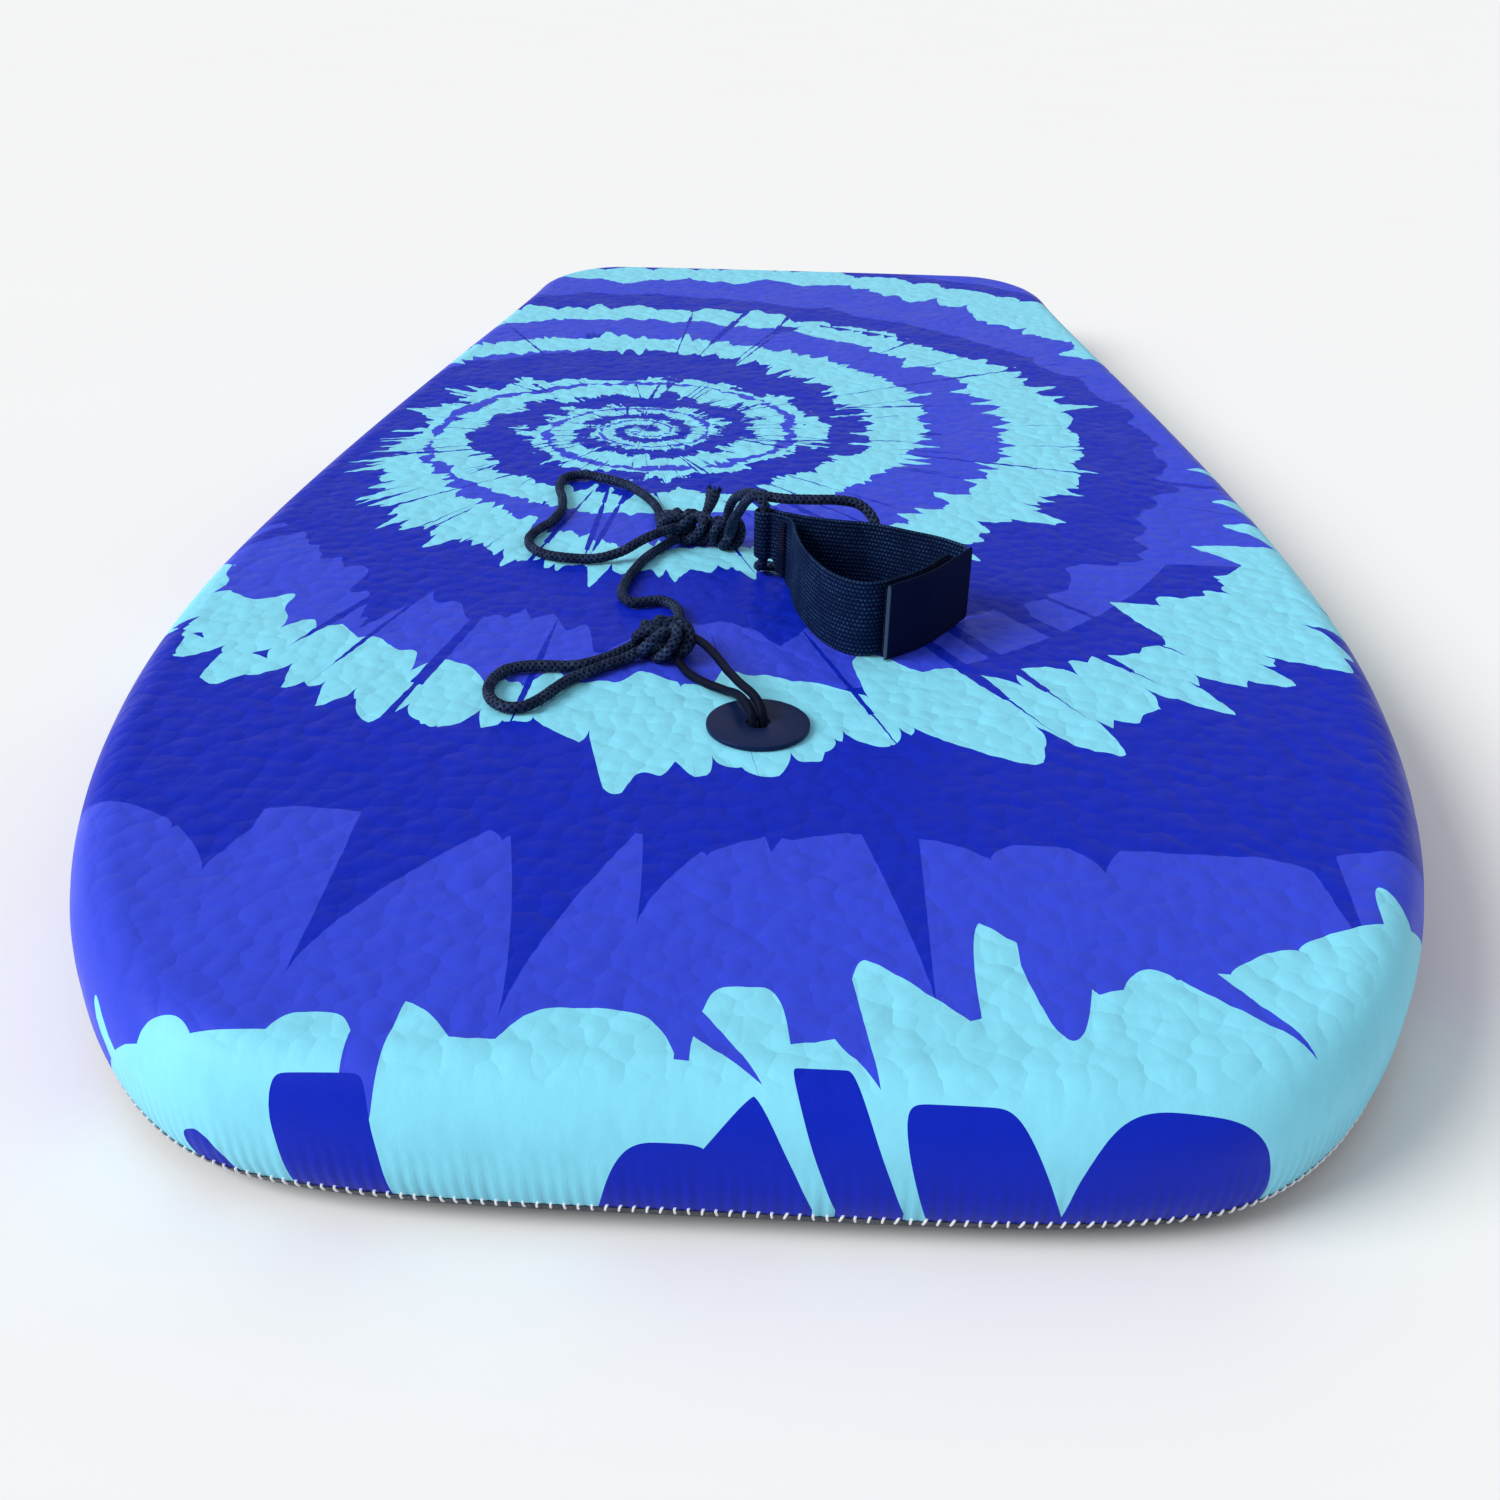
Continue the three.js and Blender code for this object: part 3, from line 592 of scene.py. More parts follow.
def woven_webbing(name, dark, pale, pitch, rough):
    """Plain woven tape. The weave vector is (distance along, height, distance to the end)."""
    f = Finish(name, dark, rough, Specular_IOR_Level=0.05)
    along, height, to_end = f.split(f.attribute("weave"))
    rows = f.math("DIVIDE", height, pitch)
    shift = f.times(f.math("FLOOR", rows), 0.5)
    picks = f.add(f.math("DIVIDE", along, pitch * 0.9), shift)
    row_wave = f.math("SINE", f.times(f.math("FRACT", rows), math.pi))
    pick_wave = f.math("SINE", f.times(f.math("FRACT", picks), math.pi))
    yarn = f.times(row_wave, f.add(f.times(pick_wave, 0.6), 0.4))
    fuzz = f.noise(f.place(), 1400.0, 2.0)
    dust = f.noise(f.place(), 90.0, 3.0)
    dusty = f.ramp(dust, 0.3, 0.7, 0.35, 1.0)
    share = f.times(f.ramp(yarn, 0.45, 0.95), f.ramp(fuzz, 0.3, 0.65), dusty)
    sealed_end = f.ramp(to_end, 0.0006, 0.0002, 0.0, 0.8)
    f.colour(f.mix(sealed_end, f.mix(share, dark, pale), SEALED_EDGE))
    f.bump(f.add(yarn, f.times(fuzz, 0.3)), 0.0003, 0.9)
    return f


def tape_pile(name, dark, pale, scale, depth):
    f = Finish(name, dark, 0.8, Specular_IOR_Level=0.05)
    place = f.place()
    tufts = f.cells(place, scale)
    f.colour(f.mix(f.ramp(f.noise(place, scale * 1.4), 0.4, 0.75), dark, pale))
    f.bump(f.add(tufts, f.times(f.noise(place, scale * 2.0), 0.5)), depth, 0.9)
    return f


def floor_paint():
    f = Finish("floor_paint", (0.93, 0.94, 0.95), 0.9, Specular_IOR_Level=0.1)
    f.colour(f.mix(f.noise(f.place(), 3.0), (0.93, 0.935, 0.945), (0.95, 0.955, 0.96)))
    return f


# ---- board

LENGTH = 1.041
HALF_WIDTH = 0.254
WIDEST_FROM_NOSE = 0.344
THICKNESS = 0.050
DECK_INSET = 0.017
DECK_DROP = 0.020
BOTTOM_INSET = 0.013
BOTTOM_RISE = 0.022
SEAM_HEIGHT = 0.009
COVER_THICKNESS = 0.001
PANEL_THICKNESS = 0.0012
SEAM_GAP = 0.0003
CLEARANCE = 0.0003
STITCHES = 760
STITCH_RADIUS = 0.00036
THREAD_SIDES = 6
COLUMNS = 2 * STITCHES

PLUG_X = 0.0026
PLUG_Y = -0.325
CORD_HOLE_RADIUS = 0.0044
CUP_HOLE_RADIUS = 0.0193
PLUG_RADIUS = 0.019
FLAT_ROUND_PLUG = 0.0215
DISC_THICKNESS = 0.0018

DIMPLE_SPACING = 0.0072
DIMPLE_DEPTH = 0.00068
GRID_STEP = 0.0031
GRID_ROW_STEP = 0.866 * GRID_STEP
GATHER_DEPTH = 0.00038
GATHER_REACH = 0.022


def bezier(a, b, c, d, count=300):
    a, b, c, d = (np.array(p, float) for p in (a, b, c, d))
    t = np.linspace(0, 1, count)[:, None]
    return (1 - t) ** 3 * a + 3 * (1 - t) ** 2 * t * b + 3 * (1 - t) * t * t * c + t ** 3 * d


def planform():
    """The board's outline, anticlockwise from the middle of the nose, and its outward directions."""
    shoulder = (0.133, 0.008)
    widest = (HALF_WIDTH, WIDEST_FROM_NOSE)
    hip = (0.210, 0.951)
    heel = (0.142, LENGTH - 0.002)
    curves = [
        bezier((0, 0), (0.060, 0), (0.103, -0.001), shoulder),
        bezier(shoulder, (0.201, 0.029), (HALF_WIDTH, 0.171), widest),
        bezier(widest, (HALF_WIDTH, 0.533), (0.216, 0.828), hip),
        bezier(hip, (0.208, 0.993), (0.184, LENGTH - 0.002), heel),
        bezier(heel, (0.095, LENGTH), (0.048, LENGTH), (0, LENGTH)),
    ]
    right = np.concatenate([curve[:-1] for curve in curves] + [curves[-1][-1:]])
    right = evenly(right, lengths_along(right)[-1] / (COLUMNS // 2))
    left = right[-2:0:-1] * (-1, 1)
    outline = np.concatenate([right, left]) - (0, LENGTH / 2)
    ahead = unit(np.roll(outline, -1, axis=0) - np.roll(outline, 1, axis=0))
    return outline, right_of(ahead)


OUTLINE, OUTWARD = planform()


def low_level(turn, depth=0.0):
    """(inset, height) on the lower quarter ellipse of the rail: turn 90 is flat below, 0 upright."""
    turn = math.radians(turn)
    return (BOTTOM_INSET - (BOTTOM_INSET - depth) * math.cos(turn),
            BOTTOM_RISE - (BOTTOM_RISE - depth) * math.sin(turn))


def high_level(turn, depth=0.0):
    turn = math.radians(turn)
    return (DECK_INSET - (DECK_INSET - depth) * math.cos(turn),
            THICKNESS - DECK_DROP + (DECK_DROP - depth) * math.sin(turn))


def turn_at(height):
    return math.degrees(math.asin((BOTTOM_RISE - height) / BOTTOM_RISE))


SEAM_TURN = turn_at(SEAM_HEIGHT)
HEM_TURN = turn_at(SEAM_HEIGHT - SEAM_GAP)


def ring(inset, height, pull=0.0):
    """The outline moved inwards and raised. pull is a further move inwards on each column."""
    flat = OUTLINE - OUTWARD * (inset + np.reshape(pull, (-1, 1)))
    return np.column_stack([flat, np.full(len(flat), height)])


def circle(radius, height, sides=48):
    angle = np.linspace(0, math.tau, sides, endpoint=False)
    return np.column_stack([PLUG_X + radius * np.cos(angle), PLUG_Y + radius * np.sin(angle),
                            np.full(sides, height)])


def dimple_depths(points):
    """The hammered look of the deck: hollows between round bumps about one spacing apart."""
    row_step = 0.87 * DIMPLE_SPACING
    rows = int(LENGTH / row_step) + 2
    columns = int(2 * HALF_WIDTH / DIMPLE_SPACING) + 2
    bumps = []
    for row in range(rows):
        for column in range(columns):
            x = (column + 0.5 * (row % 2)) * DIMPLE_SPACING - HALF_WIDTH
            y = row * row_step - LENGTH / 2
            wander_x, wander_y = RANDOM.uniform(-0.3, 0.3, 2) * DIMPLE_SPACING
            bumps.append((x + wander_x, y + wander_y, 0))
    tree = tree_of(bumps)
    away = np.array([tree.find((x, y, 0))[2] for x, y, _ in points])
    return DIMPLE_DEPTH * np.clip(away / (0.62 * DIMPLE_SPACING), 0, 1) ** 2


def deck_points():
    """Points inside the deck's edge on an even triangular grid."""
    inner = ring(DECK_INSET, 0)
    half = inner[:COLUMNS // 2 + 1]
    order = np.argsort(half[:, 1])
    edge_tree = tree_of(inner)
    points = []
    for row, y in enumerate(np.arange(half[:, 1].min(), half[:, 1].max(), GRID_ROW_STEP)):
        reach = np.interp(y, half[order, 1], half[order, 0])
        start = -HALF_WIDTH + GRID_STEP * 0.5 * (row % 2)
        for x in np.arange(start, HALF_WIDTH, GRID_STEP):
            off_plug = math.hypot(x - PLUG_X, y - PLUG_Y)
            if abs(x) < reach and off_plug > CORD_HOLE_RADIUS + 0.5 * GRID_STEP:
                if edge_tree.find((x, y, 0))[2] > 0.5 * GRID_STEP:
                    points.append((x, y, THICKNESS))
    return np.array(points)


def filled(edge, hole, inside):
    """The triangles between a loop and a hole, through the points inside, numbered in that order."""
    points = [Vector(p[:2]) for p in (*edge, *hole, *inside)]
    count, around = len(edge), len(hole)
    loops = [(i, (i + 1) % count) for i in range(count)]
    loops += [(count + i, count + (i + 1) % around) for i in range(around)]
    placed, _, triangles, sources, _, _ = delaunay_2d_cdt(points, loops, [], 1, 1e-9)
    number = [source[0] for source in sources]
    middle = Vector((PLUG_X, PLUG_Y))
    nearness = (Vector(hole[0][:2]) - middle).length
    kept = []
    for triangle in triangles:
        centre = sum((placed[i] for i in triangle), Vector((0, 0))) / 3
        if (centre - middle).length > nearness:
            kept.append([number[i] for i in triangle])
    return kept


def skin(outside, inside, hole_radius, face_points):
    """A thin closed skin: rings outside from its hem to its flat face, the same inside, and a hole."""
    layers = [*outside[::-1], *inside]
    outer_hole = circle(hole_radius, outside[-1][0][2])
    inner_hole = circle(hole_radius, inside[-1][0][2])
    points = np.concatenate([*layers, outer_hole, inner_hole, face_points])
    faces = quads(len(layers), COLUMNS).tolist()
    hole_start = len(layers) * COLUMNS
    around = len(outer_hole)
    faces += (quads(2, around) + hole_start).tolist()
    columns, sides = np.arange(COLUMNS), np.arange(around)
    outer = [columns, hole_start + sides, np.arange(hole_start + 2 * around, len(points))]
    inner = [hole_start - COLUMNS + columns, hole_start + around + sides]
    faces += np.concatenate(outer)[filled(outside[-1], outer_hole, face_points)].tolist()
    faces += np.concatenate(inner)[filled(inside[-1], inner_hole, [])].tolist()
    return points, faces


def deck_cover(finish):
    levels = [low_level(turn) for turn in (SEAM_TURN, 31, 25, 17, 8, 0)]
    levels += [high_level(turn) for turn in range(0, 91, 10)]
    gather = np.where(np.arange(COLUMNS) % 2, 1.0, 0.0) * RANDOM.uniform(0.6, 1.0, COLUMNS)
    outside, gathered = [], []
    for inset, height in levels:
        fade = max(0.0, 1 - (height - SEAM_HEIGHT) / GATHER_REACH) ** 1.5
        gathered.append(gather * fade)
        outside.append(ring(inset, height, gathered[-1] * GATHER_DEPTH))
    inside = [ring(*low_level(turn, COVER_THICKNESS)) for turn in (SEAM_TURN, 18, 0)]
    inside += [ring(*high_level(turn, COVER_THICKNESS)) for turn in (0, 30, 60, 90)]
    face_points = deck_points()
    points, faces = skin(outside, inside, CORD_HOLE_RADIUS, face_points)
    deck = points[-len(face_points):]
    off_plug = np.hypot(deck[:, 0] - PLUG_X, deck[:, 1] - PLUG_Y)
    deck[:, 2] -= dimple_depths(deck) * (off_plug > FLAT_ROUND_PLUG)

    # The cover laid flat: beyond the deck's edge it goes on outwards by its length down the rail.
    down = lengths_along(np.array([level[0, 1:] for level in outside[::-1]]))
    flat_rings = [np.column_stack([OUTLINE - OUTWARD * (DECK_INSET - distance), pull])
                  for distance, pull in zip(down, gathered[::-1])]
    flat = points * (1, 1, 0)
    flat[:len(flat_rings) * COLUMNS] = np.concatenate(flat_rings)
    piece = make_piece("deck_cover_printed", (points, faces, flat), finish,
                       "board", "deck_cover")


def bottom_panel(finish):
    turns = (HEM_TURN, 44, 52, 60, 70, 80, 90)
    outside = [ring(*low_level(turn)) for turn in turns]
    inside = [ring(*low_level(turn, PANEL_THICKNESS)) for turn in turns]
    shape = skin(outside, inside, CUP_HOLE_RADIUS, np.zeros((0, 3)))
    make_piece("bottom_panel_slick", shape, finish, "board", "bottom_panel")


def seam_stitches(finish):
    """Short upright bars of thread across the seam, each with a small hook at its top."""
    path = [(0.00155, 0.0006, 0.9), (0.0014, -0.0002, 0.4), (0.0007, -0.0004, 0.0),
            (-0.0007, -0.0004, 0.0), (-0.0018, -0.0002, 0.1), (-0.0021, 0.0006, 0.15)]
    along = -right_of(OUTWARD)
    parts = []
    for i in range(STITCHES):
        column = 2 * i
        slant = RANDOM.uniform(-0.12, 0.2)
        points = []
        for rise, depth, hook in path:
            inset = low_level(turn_at(SEAM_HEIGHT + rise))[0] + depth
            slip = 0.00045 * hook + slant * rise
            flat = OUTLINE[column] - OUTWARD[column] * inset + along[column] * slip
            points.append((*flat, SEAM_HEIGHT + rise))
        parts.append(tube(np.array(points), lambda s, a: STITCH_RADIUS, THREAD_SIDES))
    make_piece("seam_stitches", joined(parts)[:2], finish, "board", "seam_thread")


def turned(profile, sides=96):
    """A ring-shaped solid from its section, a closed list of (radius, height), round the plug's axis."""
    angle = np.linspace(0, math.tau, sides, endpoint=False)[:, None]
    radius, height = np.array(profile).T
    x = PLUG_X + radius * np.cos(angle)
    y = PLUG_Y + radius * np.sin(angle)
    points = np.stack([x, y, height + 0 * angle], axis=-1).reshape(-1, 3)
    return points, quads(sides + 1, len(profile)) % len(points)


def rounded_section(corners, radius, steps=4):
    """A closed section with each of its corners rounded off."""
    corners = np.array(corners, float)
    rounded = []
    neighbours = zip(np.roll(corners, 1, axis=0), corners, np.roll(corners, -1, axis=0))
    for before, corner, after in neighbours:
        start = corner + unit(before - corner) * radius
        end = corner + unit(after - corner) * radius
        for t in np.linspace(0, 1, steps):
            rounded.append(tuple((1 - t) ** 2 * start + 2 * t * (1 - t) * corner + t * t * end))
    return rounded


def leash_plug(finish):
    low = THICKNESS + CLEARANCE
    high = low + DISC_THICKNESS
    disc = rounded_section([
        (CORD_HOLE_RADIUS, low), (PLUG_RADIUS, low), (PLUG_RADIUS, high), (CORD_HOLE_RADIUS, high),
    ], 0.0005)
    make_piece("plug_disc_moulding", turned(disc), finish, "board", "plug_top_disc")
    pocket, pocket_radius = 0.0145, 0.0092
    roof, wall_radius = 0.017, 0.011
    flange = 0.0019
    cup = rounded_section([
        (CORD_HOLE_RADIUS, pocket), (pocket_radius, pocket), (pocket_radius, CLEARANCE),
        (PLUG_RADIUS, CLEARANCE), (PLUG_RADIUS, flange), (wall_radius, flange), (wall_radius, roof),
        (CORD_HOLE_RADIUS, roof),
    ], 0.0004)
    make_piece("plug_cup_moulding", turned(cup), finish, "board", "plug_bottom_cup")


# ---- cords and knots

BRAID_RADIUS = 0.00225
ANCHOR_RADIUS = 0.00175
CORD_HEIGHT = 0.0524
CORD_STEP = 0.00055
CORD_SIDES = 26


def through_board(x, y):
    """The upright run of an anchor leg, up the plug's hole."""
    return [(x, y, z) for z in (0.008, 0.03, 0.046, 0.051)]


# Each cord's route. A point without a height lies on the deck, at CORD_HEIGHT.
ROUTES = {
    "anchor_leg_upper": [
        *through_board(0.00435, -0.32424), (0.0037, -0.3226, 0.0556), (0.001, -0.3172, 0.0584),
        (-0.0044, -0.308, 0.0586), (-0.0104, -0.294, 0.0574), (-0.016, -0.28, 0.057),
        (-0.0225, -0.27, 0.058), (-0.03, -0.264, 0.0585),
    ],
    "anchor_leg_lower": [
        *through_board(0.00085, -0.32576), (0.0001, -0.324, 0.055), (-0.0026, -0.3188, 0.057),
        (-0.006, -0.31, 0.0554), (-0.0106, -0.3016, 0.0526), (-0.018, -0.295, 0.0519),
        (-0.0256, -0.287, 0.0519), (-0.0306, -0.277, 0.0525), (-0.034, -0.269, 0.0549),
    ],
    "end_loop": [
        (-0.041, -0.2625, 0.055), (-0.0479, -0.2646, 0.0534), (-0.0559, -0.273), (-0.063, -0.2803),
        (-0.071, -0.2848), (-0.08, -0.2854), (-0.0885, -0.2863), (-0.0957, -0.2902), (-0.0994, -0.299),
        (-0.0992, -0.309), (-0.0956, -0.317), (-0.0897, -0.3212), (-0.084, -0.3202), (-0.079, -0.314),
        (-0.075, -0.3054), (-0.07, -0.296), (-0.0605, -0.2856), (-0.0516, -0.2766),
        (-0.0441, -0.2692, 0.054),
    ],
    "leash_cord": [
        (-0.0355, -0.26, 0.056), (-0.034, -0.252, 0.054), (-0.0334, -0.243), (-0.034, -0.233),
        (-0.0376, -0.2226), (-0.0439, -0.2182), (-0.05, -0.2204), (-0.0556, -0.2214), (-0.0602, -0.214),
        (-0.0606, -0.201), (-0.058, -0.184), (-0.0547, -0.1703), (-0.0496, -0.1585),
        (-0.043, -0.147, 0.053),
    ],
    "slack_loop": [
        (-0.043, -0.137, 0.0565), (-0.0494, -0.13, 0.0536), (-0.0532, -0.121), (-0.0546, -0.11),
        (-0.0582, -0.098), (-0.0666, -0.082), (-0.0761, -0.0694), (-0.0876, -0.0615), (-0.1002, -0.0564),
        (-0.1083, -0.0624), (-0.109, -0.077), (-0.1048, -0.0947), (-0.1029, -0.112), (-0.1054, -0.1287),
        (-0.1098, -0.14), (-0.1117, -0.151), (-0.1084, -0.162), (-0.1013, -0.1696), (-0.09, -0.1732),
        (-0.077, -0.1728), (-0.066, -0.169, 0.0546), (-0.057, -0.1624, 0.058), (-0.0494, -0.1544, 0.059),
        (-0.043, -0.146, 0.0585),
    ],
    "cord_tail": [
        (-0.031, -0.139, 0.06), (-0.0286, -0.133, 0.064), (-0.0274, -0.1294, 0.067),
        (-0.0268, -0.1266, 0.07),
    ],
    "lanyard_cord": [
        (-0.019, -0.148, 0.06), (-0.0184, -0.151, 0.0686), (-0.0156, -0.1564, 0.0766),
        (-0.0104, -0.165, 0.0826), (-0.0046, -0.173, 0.0856), (0.0014, -0.1784, 0.0862),
        (0.009, -0.181, 0.0864), (0.021, -0.1814, 0.0866), (0.032, -0.1794, 0.086),
        (0.041, -0.179, 0.084), (0.0472, -0.1824, 0.0786), (0.0488, -0.1866, 0.0706),
        (0.0464, -0.189, 0.0624), (0.0414, -0.1884, 0.0554), (0.034, -0.186, 0.0526), (0.024, -0.1826),
        (0.013, -0.1786), (0.005, -0.1756), (-0.0014, -0.1754, 0.0526), (-0.003, -0.1798, 0.0542),
        (-0.0012, -0.1834, 0.0574), (-0.0005, -0.1845, 0.0626), (-0.0005, -0.1845, 0.072),
        (-0.0005, -0.1845, 0.08), (-0.001, -0.1846, 0.085), (-0.0046, -0.1834, 0.088),
        (-0.0084, -0.1786, 0.0846), (-0.0124, -0.17, 0.076), (-0.016, -0.161, 0.0674),
        (-0.018, -0.153, 0.059),
    ],
}

BRAID_STRANDS = 4
BRAID_LAY = 0.0100


def braided(along, angle):
    """A braid's surface: two sets of strands that wind opposite ways and pass over each other."""
    wind = math.tau * along / BRAID_LAY
    one = 0.5 + 0.5 * np.cos(BRAID_STRANDS * angle + BRAID_STRANDS * wind)
    other = 0.5 + 0.5 * np.cos(BRAID_STRANDS * angle - BRAID_STRANDS * wind)
    over = 0.5 + 0.5 * np.cos(2 * BRAID_STRANDS * wind + 2 * angle)
    rise = np.maximum(one * (0.8 + 0.2 * over), other * (1 - 0.2 * over))
    return BRAID_RADIUS * (0.62 + 0.42 * np.sqrt(rise))


def plain(along, angle):
    """A fine smooth cord, with shallow strands laid round it."""
    return ANCHOR_RADIUS * (0.985 + 0.03 * np.cos(5 * angle + math.tau * along / 0.012))


def route_of(node, step):
    return smooth_line([(*point, CORD_HEIGHT)[:3] for point in ROUTES[node]], step)


def free_cord(name, node, body, slot, finish, surface, radius, with_pieces=()):
    line = route_of(node, CORD_STEP)
    piece = make_piece(name, tube(line, surface, CORD_SIDES), finish, body, node)


KNOT_FULLNESS = 1.12
KNOT_SPREAD = 0.42
KNOT_STEP = 0.0006
POINTS_PER_WIND = 90
FIBRES = 46
FIBRE_RADIUS = 0.00022


def knot(name, node, body, slot, finish, surface, radius, winds, laps, turn=0.0, stretch=1.0):
    """A cord knotted up on itself, as turns laid round a flattened ring that fills the knot's place."""
    low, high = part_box(node)
    middle = np.array((low + high) / 2)
    half = KNOT_FULLNESS * np.array((high - low) / 2) - radius
    t = np.linspace(0, math.tau, POINTS_PER_WIND * winds)
    ring_radius = 1 - KNOT_SPREAD + KNOT_SPREAD * np.cos(laps * t)
    x = ring_radius * np.cos(winds * t)
    y = ring_radius * np.sin(winds * t)
    z = np.sin(laps * t)
    line = np.stack([x * half[0] * stretch, y * half[1], z * half[2]], axis=1)
    c, s = math.cos(turn), math.sin(turn)
    line = line @ np.array([[c, s, 0], [-s, c, 0], [0, 0, 1]]) + middle
    line = evenly(line, KNOT_STEP)[:-2]
    return make_piece(name, tube(line, surface, 22), finish, body, node)


def frayed_tail(finish):
    """The short tail above the far knot, whose cut end opens into fibres."""
    line = route_of("cord_tail", 0.0005)
    total = lengths_along(line)[-1]

    def surface(along, angle):
        flare = np.clip((along - 0.35 * total) / (0.5 * total), 0, 1)
        return braided(along, angle) * (1 + 0.5 * flare + 0.1 * flare * np.cos(7 * angle))

    def fibre(along, angle):
        return FIBRE_RADIUS * (1 - 120 * along)

    parts = [tube(line, surface, CORD_SIDES)]
    end = line[-1]
    forward = unit(line[-1] - line[-3])
    across, upward = (directions[-1] for directions in frames_along(line))
    for _ in range(FIBRES):
        angle = RANDOM.uniform(0, math.tau)
        off = RANDOM.uniform(0.2, 1.0) ** 0.5 * BRAID_RADIUS * 1.35
        outward = across * math.cos(angle) + upward * math.sin(angle)
        start = end + outward * off - forward * 0.0006
        reach = RANDOM.uniform(0.0012, 0.0030)
        tip = start + forward * reach + outward * reach * RANDOM.uniform(0.1, 0.6)
        bend = (start + tip) / 2 + outward * reach * 0.15
        parts.append(tube(np.array([start, bend, tip]), fibre, 5))
    return make_piece("cord_tail_braid", joined(parts), finish, "leash", "cord_tail")


def leash(braid_finish, anchor_finish):
    anchor = ("leash", "anchor_cord", anchor_finish, plain, ANCHOR_RADIUS)
    braid = ("leash", "braided_cord", braid_finish, braided, BRAID_RADIUS)
    lanyard = ("lanyard", "braided_cord", braid_finish, braided, BRAID_RADIUS)
    stopper = knot("stopper_knot", "anchor_stopper_knot", *anchor, 3, 5)
    near = knot("near_knot", "knot_near", *braid, 3, 7, 0.5)
    far = knot("far_knot", "knot_far", *braid, 3, 7, -0.3, 1.35)
    tied = knot("tied_knot", "lanyard_knot", *lanyard, 2, 5, 1.1)
    tail = frayed_tail(braid_finish)
    free_cord("anchor_cord_upper", "anchor_leg_upper", *anchor, [stopper])
    free_cord("anchor_cord_lower", "anchor_leg_lower", *anchor)
    free_cord("end_loop_braid", "end_loop", *braid, [near])
    free_cord("leash_braid", "leash_cord", *braid, [far])
    free_cord("slack_loop_braid", "slack_loop", *braid, [tail])
    free_cord("lanyard_braid", "lanyard_cord", *lanyard, [tied])


# ---- wrist cuff

STRAP_WIDTH = 0.032
STRAP_THICKNESS = 0.0018
TAPE_THICKNESS = 0.0008
TAPE_RIB_PITCH = 0.002
TAPE_MARGIN = 0.001
FLAT_RIB = 0.00004
CUFF_BASE = THICKNESS + CLEARANCE
EYE_X = -0.0005
EYE_Y = -0.1845
EYE_GAP = 0.0007
EYE_RADIUS = BRAID_RADIUS + EYE_GAP + STRAP_THICKNESS / 2
EYE_LIFT = 0.0105
EYE_RUN = 0.007
HINGE = (0.086, -0.221)
TACK_PLACE = np.array((0.0068, -0.1917))
TACK_TURN = math.radians(-29.7)
TACK_WIDTH = 0.0042
TACK_PITCH = 0.0006
TACK_RADIUS = 0.00028
TACK_FROM = 0.0045
TACK_TO = STRAP_WIDTH - 0.002

BAND_FRONT = [
    (0.076, -0.2274), (0.0638, -0.246), (0.055, -0.2544), (0.048, -0.2602), (0.042, -0.2622),
    (0.035, -0.26), (0.027, -0.2516), (0.0194, -0.235), (0.0152, -0.22), (0.013, -0.206),
    (0.012, -0.1974), (0.0096, -0.1916), (0.0054, -0.1892),
]
BAND_BACK = [
    (0.0052, -0.1846), (0.011, -0.1872), (0.0184, -0.1906), (0.033, -0.194), (0.046, -0.196),
    (0.0615, -0.2036), (0.075, -0.211), (0.0848, -0.2198),
]
FLAP = [HINGE, (0.0806, -0.23), (0.0676, -0.2494), (0.059, -0.258), (0.0506, -0.2656)]


def eye_arc():
    angles = np.radians(np.linspace(-48, -278, 10))
    return [(EYE_X + EYE_RADIUS * math.cos(a), EYE_Y + EYE_RADIUS * math.sin(a)) for a in angles]


def offset_route(route, distance):
    route = np.array(route, float)
    return route + right_of(unit(np.gradient(route, axis=0))) * distance


def no_lift(x):
    return 0.0 * x


def eye_lift(x):
    """The eye's lower corner is folded up, so the strap is narrower round the cord."""
    return EYE_LIFT * np.clip((EYE_X + EYE_RADIUS + EYE_RUN - x) / EYE_RUN, 0, 1)


def upright_strap(route, thickness, rib_pitch, rib_depth, lift=no_lift, margin=0.0, end_trim=0.0):
    """A strap on edge along a route seen from above, with ribs woven along it."""
    line = smooth_line(route, 0.0009)
    along = lengths_along(line)
    keep = along <= along[-1] - end_trim
    line, along = line[keep], along[keep]
    side = right_of(unit(np.gradient(line, axis=0)))
    rows = 2 * round(STRAP_WIDTH / rib_pitch)
    up = np.linspace(0, 1, rows + 1)
    # The section thins at its two edges, and every other row is a groove between ribs.
    edge = np.sqrt(np.clip(1 - np.abs(2 * up - 1) ** 18, 0.12, 1))
    groove = np.where(np.arange(rows + 1) % 2, 0.0, 1.0)
    half = thickness / 2 * edge - rib_depth * groove
    off = np.concatenate([-half, half[::-1]])
    share = np.concatenate([up, up[::-1]])
    low = (CUFF_BASE + margin + lift(line[:, 0]))[:, None]
    high = CUFF_BASE + STRAP_WIDTH - margin
    height = low + (high - low) * share
    flat = line[:, None] + side[:, None] * off[:, None]
    points = np.concatenate([flat, height[..., None]], axis=-1).reshape(-1, 3)
    along = along[:, None] + 0 * height
    weave = np.stack([along, height - CUFF_BASE, along[-1] - along], axis=-1).reshape(-1, 3)
    count = len(off)
    faces = quads(len(line), count).tolist()
    for start in (0, (len(line) - 1) * count):
        for i in range(rows):
            faces.append([start + i, start + i + 1, start + count - 2 - i, start + count - 1 - i])
    return points, faces, weave


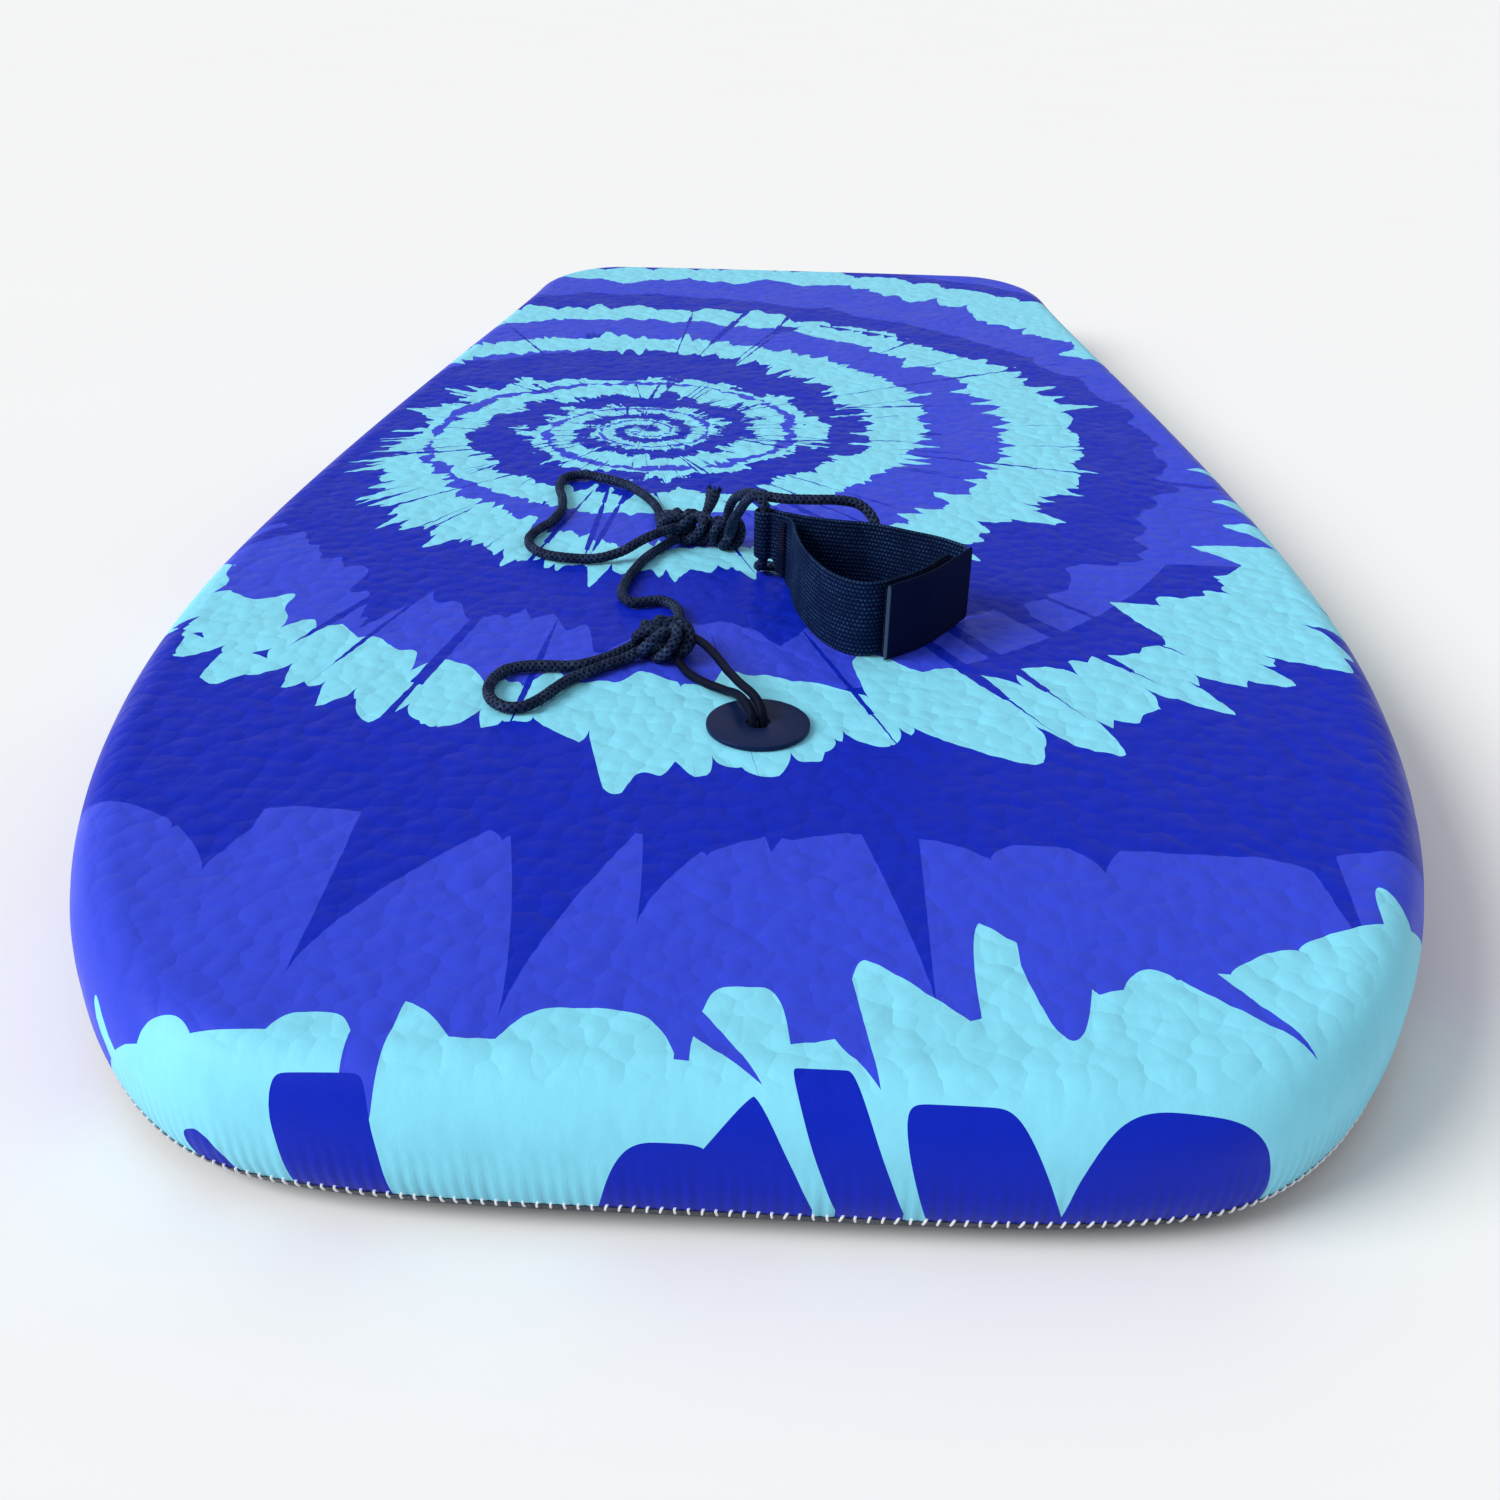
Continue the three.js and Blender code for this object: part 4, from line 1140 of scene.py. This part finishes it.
def bar_tack():
    """A zigzag of thread up the strap's face beside its eye."""
    ahead = np.array((math.cos(TACK_TURN), math.sin(TACK_TURN)))
    outward = np.array((ahead[1], -ahead[0]))
    points = []
    for i, height in enumerate(np.arange(CUFF_BASE + TACK_FROM, CUFF_BASE + TACK_TO, TACK_PITCH)):
        slip = TACK_WIDTH * (0.5 if i % 2 else -0.5)
        points.append((*(TACK_PLACE + ahead * slip + outward * CLEARANCE), height))
    return tube(smooth_line(points, 0.0004), lambda s, a: TACK_RADIUS, THREAD_SIDES)


def cuff(webbing_finish, flap_finish, loop_finish, hook_finish, thread_finish):
    band_route = [*BAND_FRONT, *eye_arc(), *BAND_BACK]
    band = upright_strap(band_route, STRAP_THICKNESS, WEAVE_PITCH, 0.00022, eye_lift, end_trim=0.0004)
    make_piece("cuff_webbing", band, webbing_finish, "cuff", "cuff_band")

    reach = (STRAP_THICKNESS + TAPE_THICKNESS) / 2 + CLEARANCE
    loops = upright_strap(
        offset_route(BAND_FRONT[:3], -reach), TAPE_THICKNESS, TAPE_RIB_PITCH, FLAT_RIB, margin=TAPE_MARGIN)
    make_piece("loop_tape_pile", loops, loop_finish, "cuff", "loop_tape")
    make_piece("eye_bar_tack", bar_tack()[:2], thread_finish, "cuff", "bar_tack")

    flap = upright_strap(FLAP, STRAP_THICKNESS, WEAVE_PITCH, FLAT_RIB)
    make_piece("flap_webbing", flap, flap_finish, "flap", "cuff_flap")
    hooks = upright_strap(
        offset_route(FLAP, reach)[1:], TAPE_THICKNESS, TAPE_RIB_PITCH, 0.00006, margin=TAPE_MARGIN)
    make_piece("hook_tape_field", hooks, hook_finish, "flap", "hook_tape")


# ---- floor and light

FLOOR_REACH = 60
FLOOR_HEIGHT = -0.0004
SUNLIGHT = Vector((1.5, 0.5, -1.1))


def make_stage():
    bpy.context.scene.view_settings.view_transform = "Standard"
    world = bpy.data.worlds.new("studio")
    bpy.context.scene.world = world
    world.use_nodes = True
    background = world.node_tree.nodes["Background"]
    background.inputs["Color"].default_value = (0.97, 0.98, 1.0, 1)
    background.inputs["Strength"].default_value = 0.50
    mesh = bpy.data.meshes.new("floor")
    corners = [(x * FLOOR_REACH, y * FLOOR_REACH, 0) for x, y in ((-1, -1), (1, -1), (1, 1), (-1, 1))]
    mesh.from_pydata(corners, [], [(0, 1, 2, 3)])
    mesh.materials.append(floor_paint().material)
    floor = add_object("floor", mesh)
    floor.location = (0, 0, FLOOR_HEIGHT)
    sun = bpy.data.lights.new("key", "SUN")
    sun.energy = 2.7
    sun.angle = math.radians(30)
    sun.color = (1, 0.99, 0.97)
    key = add_object("key", sun)
    key.rotation_euler = SUNLIGHT.to_track_quat("-Z", "Y").to_euler()


# ---- the whole object

make_camera()
braid_finish = cord_fibre("braided_cord", (0.0008, 0.0035, 0.024), (0.062, 0.105, 0.21), 260.0, 0.62)
anchor_finish = cord_fibre("anchor_cord", (0.0016, 0.0035, 0.018), (0.02, 0.03, 0.08), 500.0, 0.5)
leash(braid_finish, anchor_finish)

deck_cover(printed_cover())
bottom_panel(slick_panel())
seam_stitches(sewing_thread())
leash_plug(moulded_plastic())
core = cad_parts["foam_core"]
core.data.materials.clear()
core.data.materials.append(foam_beads().material)

cuff(
    woven_webbing("cuff_webbing", (0.0010, 0.0055, 0.034), (0.030, 0.085, 0.19), WEAVE_PITCH, 0.7),
    woven_webbing("flap_back", (0.0005, 0.0045, 0.036), (0.0015, 0.010, 0.062), 0.0006, 0.62),
    tape_pile("loop_pile", (0.0008, 0.003, 0.016), (0.008, 0.018, 0.05), 900.0, 0.0005),
    tape_pile("hook_field", (0.0008, 0.003, 0.016), (0.005, 0.012, 0.04), 700.0, 0.0004),
    cord_fibre("navy_thread", (0.001, 0.005, 0.03), (0.02, 0.05, 0.12), 900.0, 0.6),
)
make_stage()
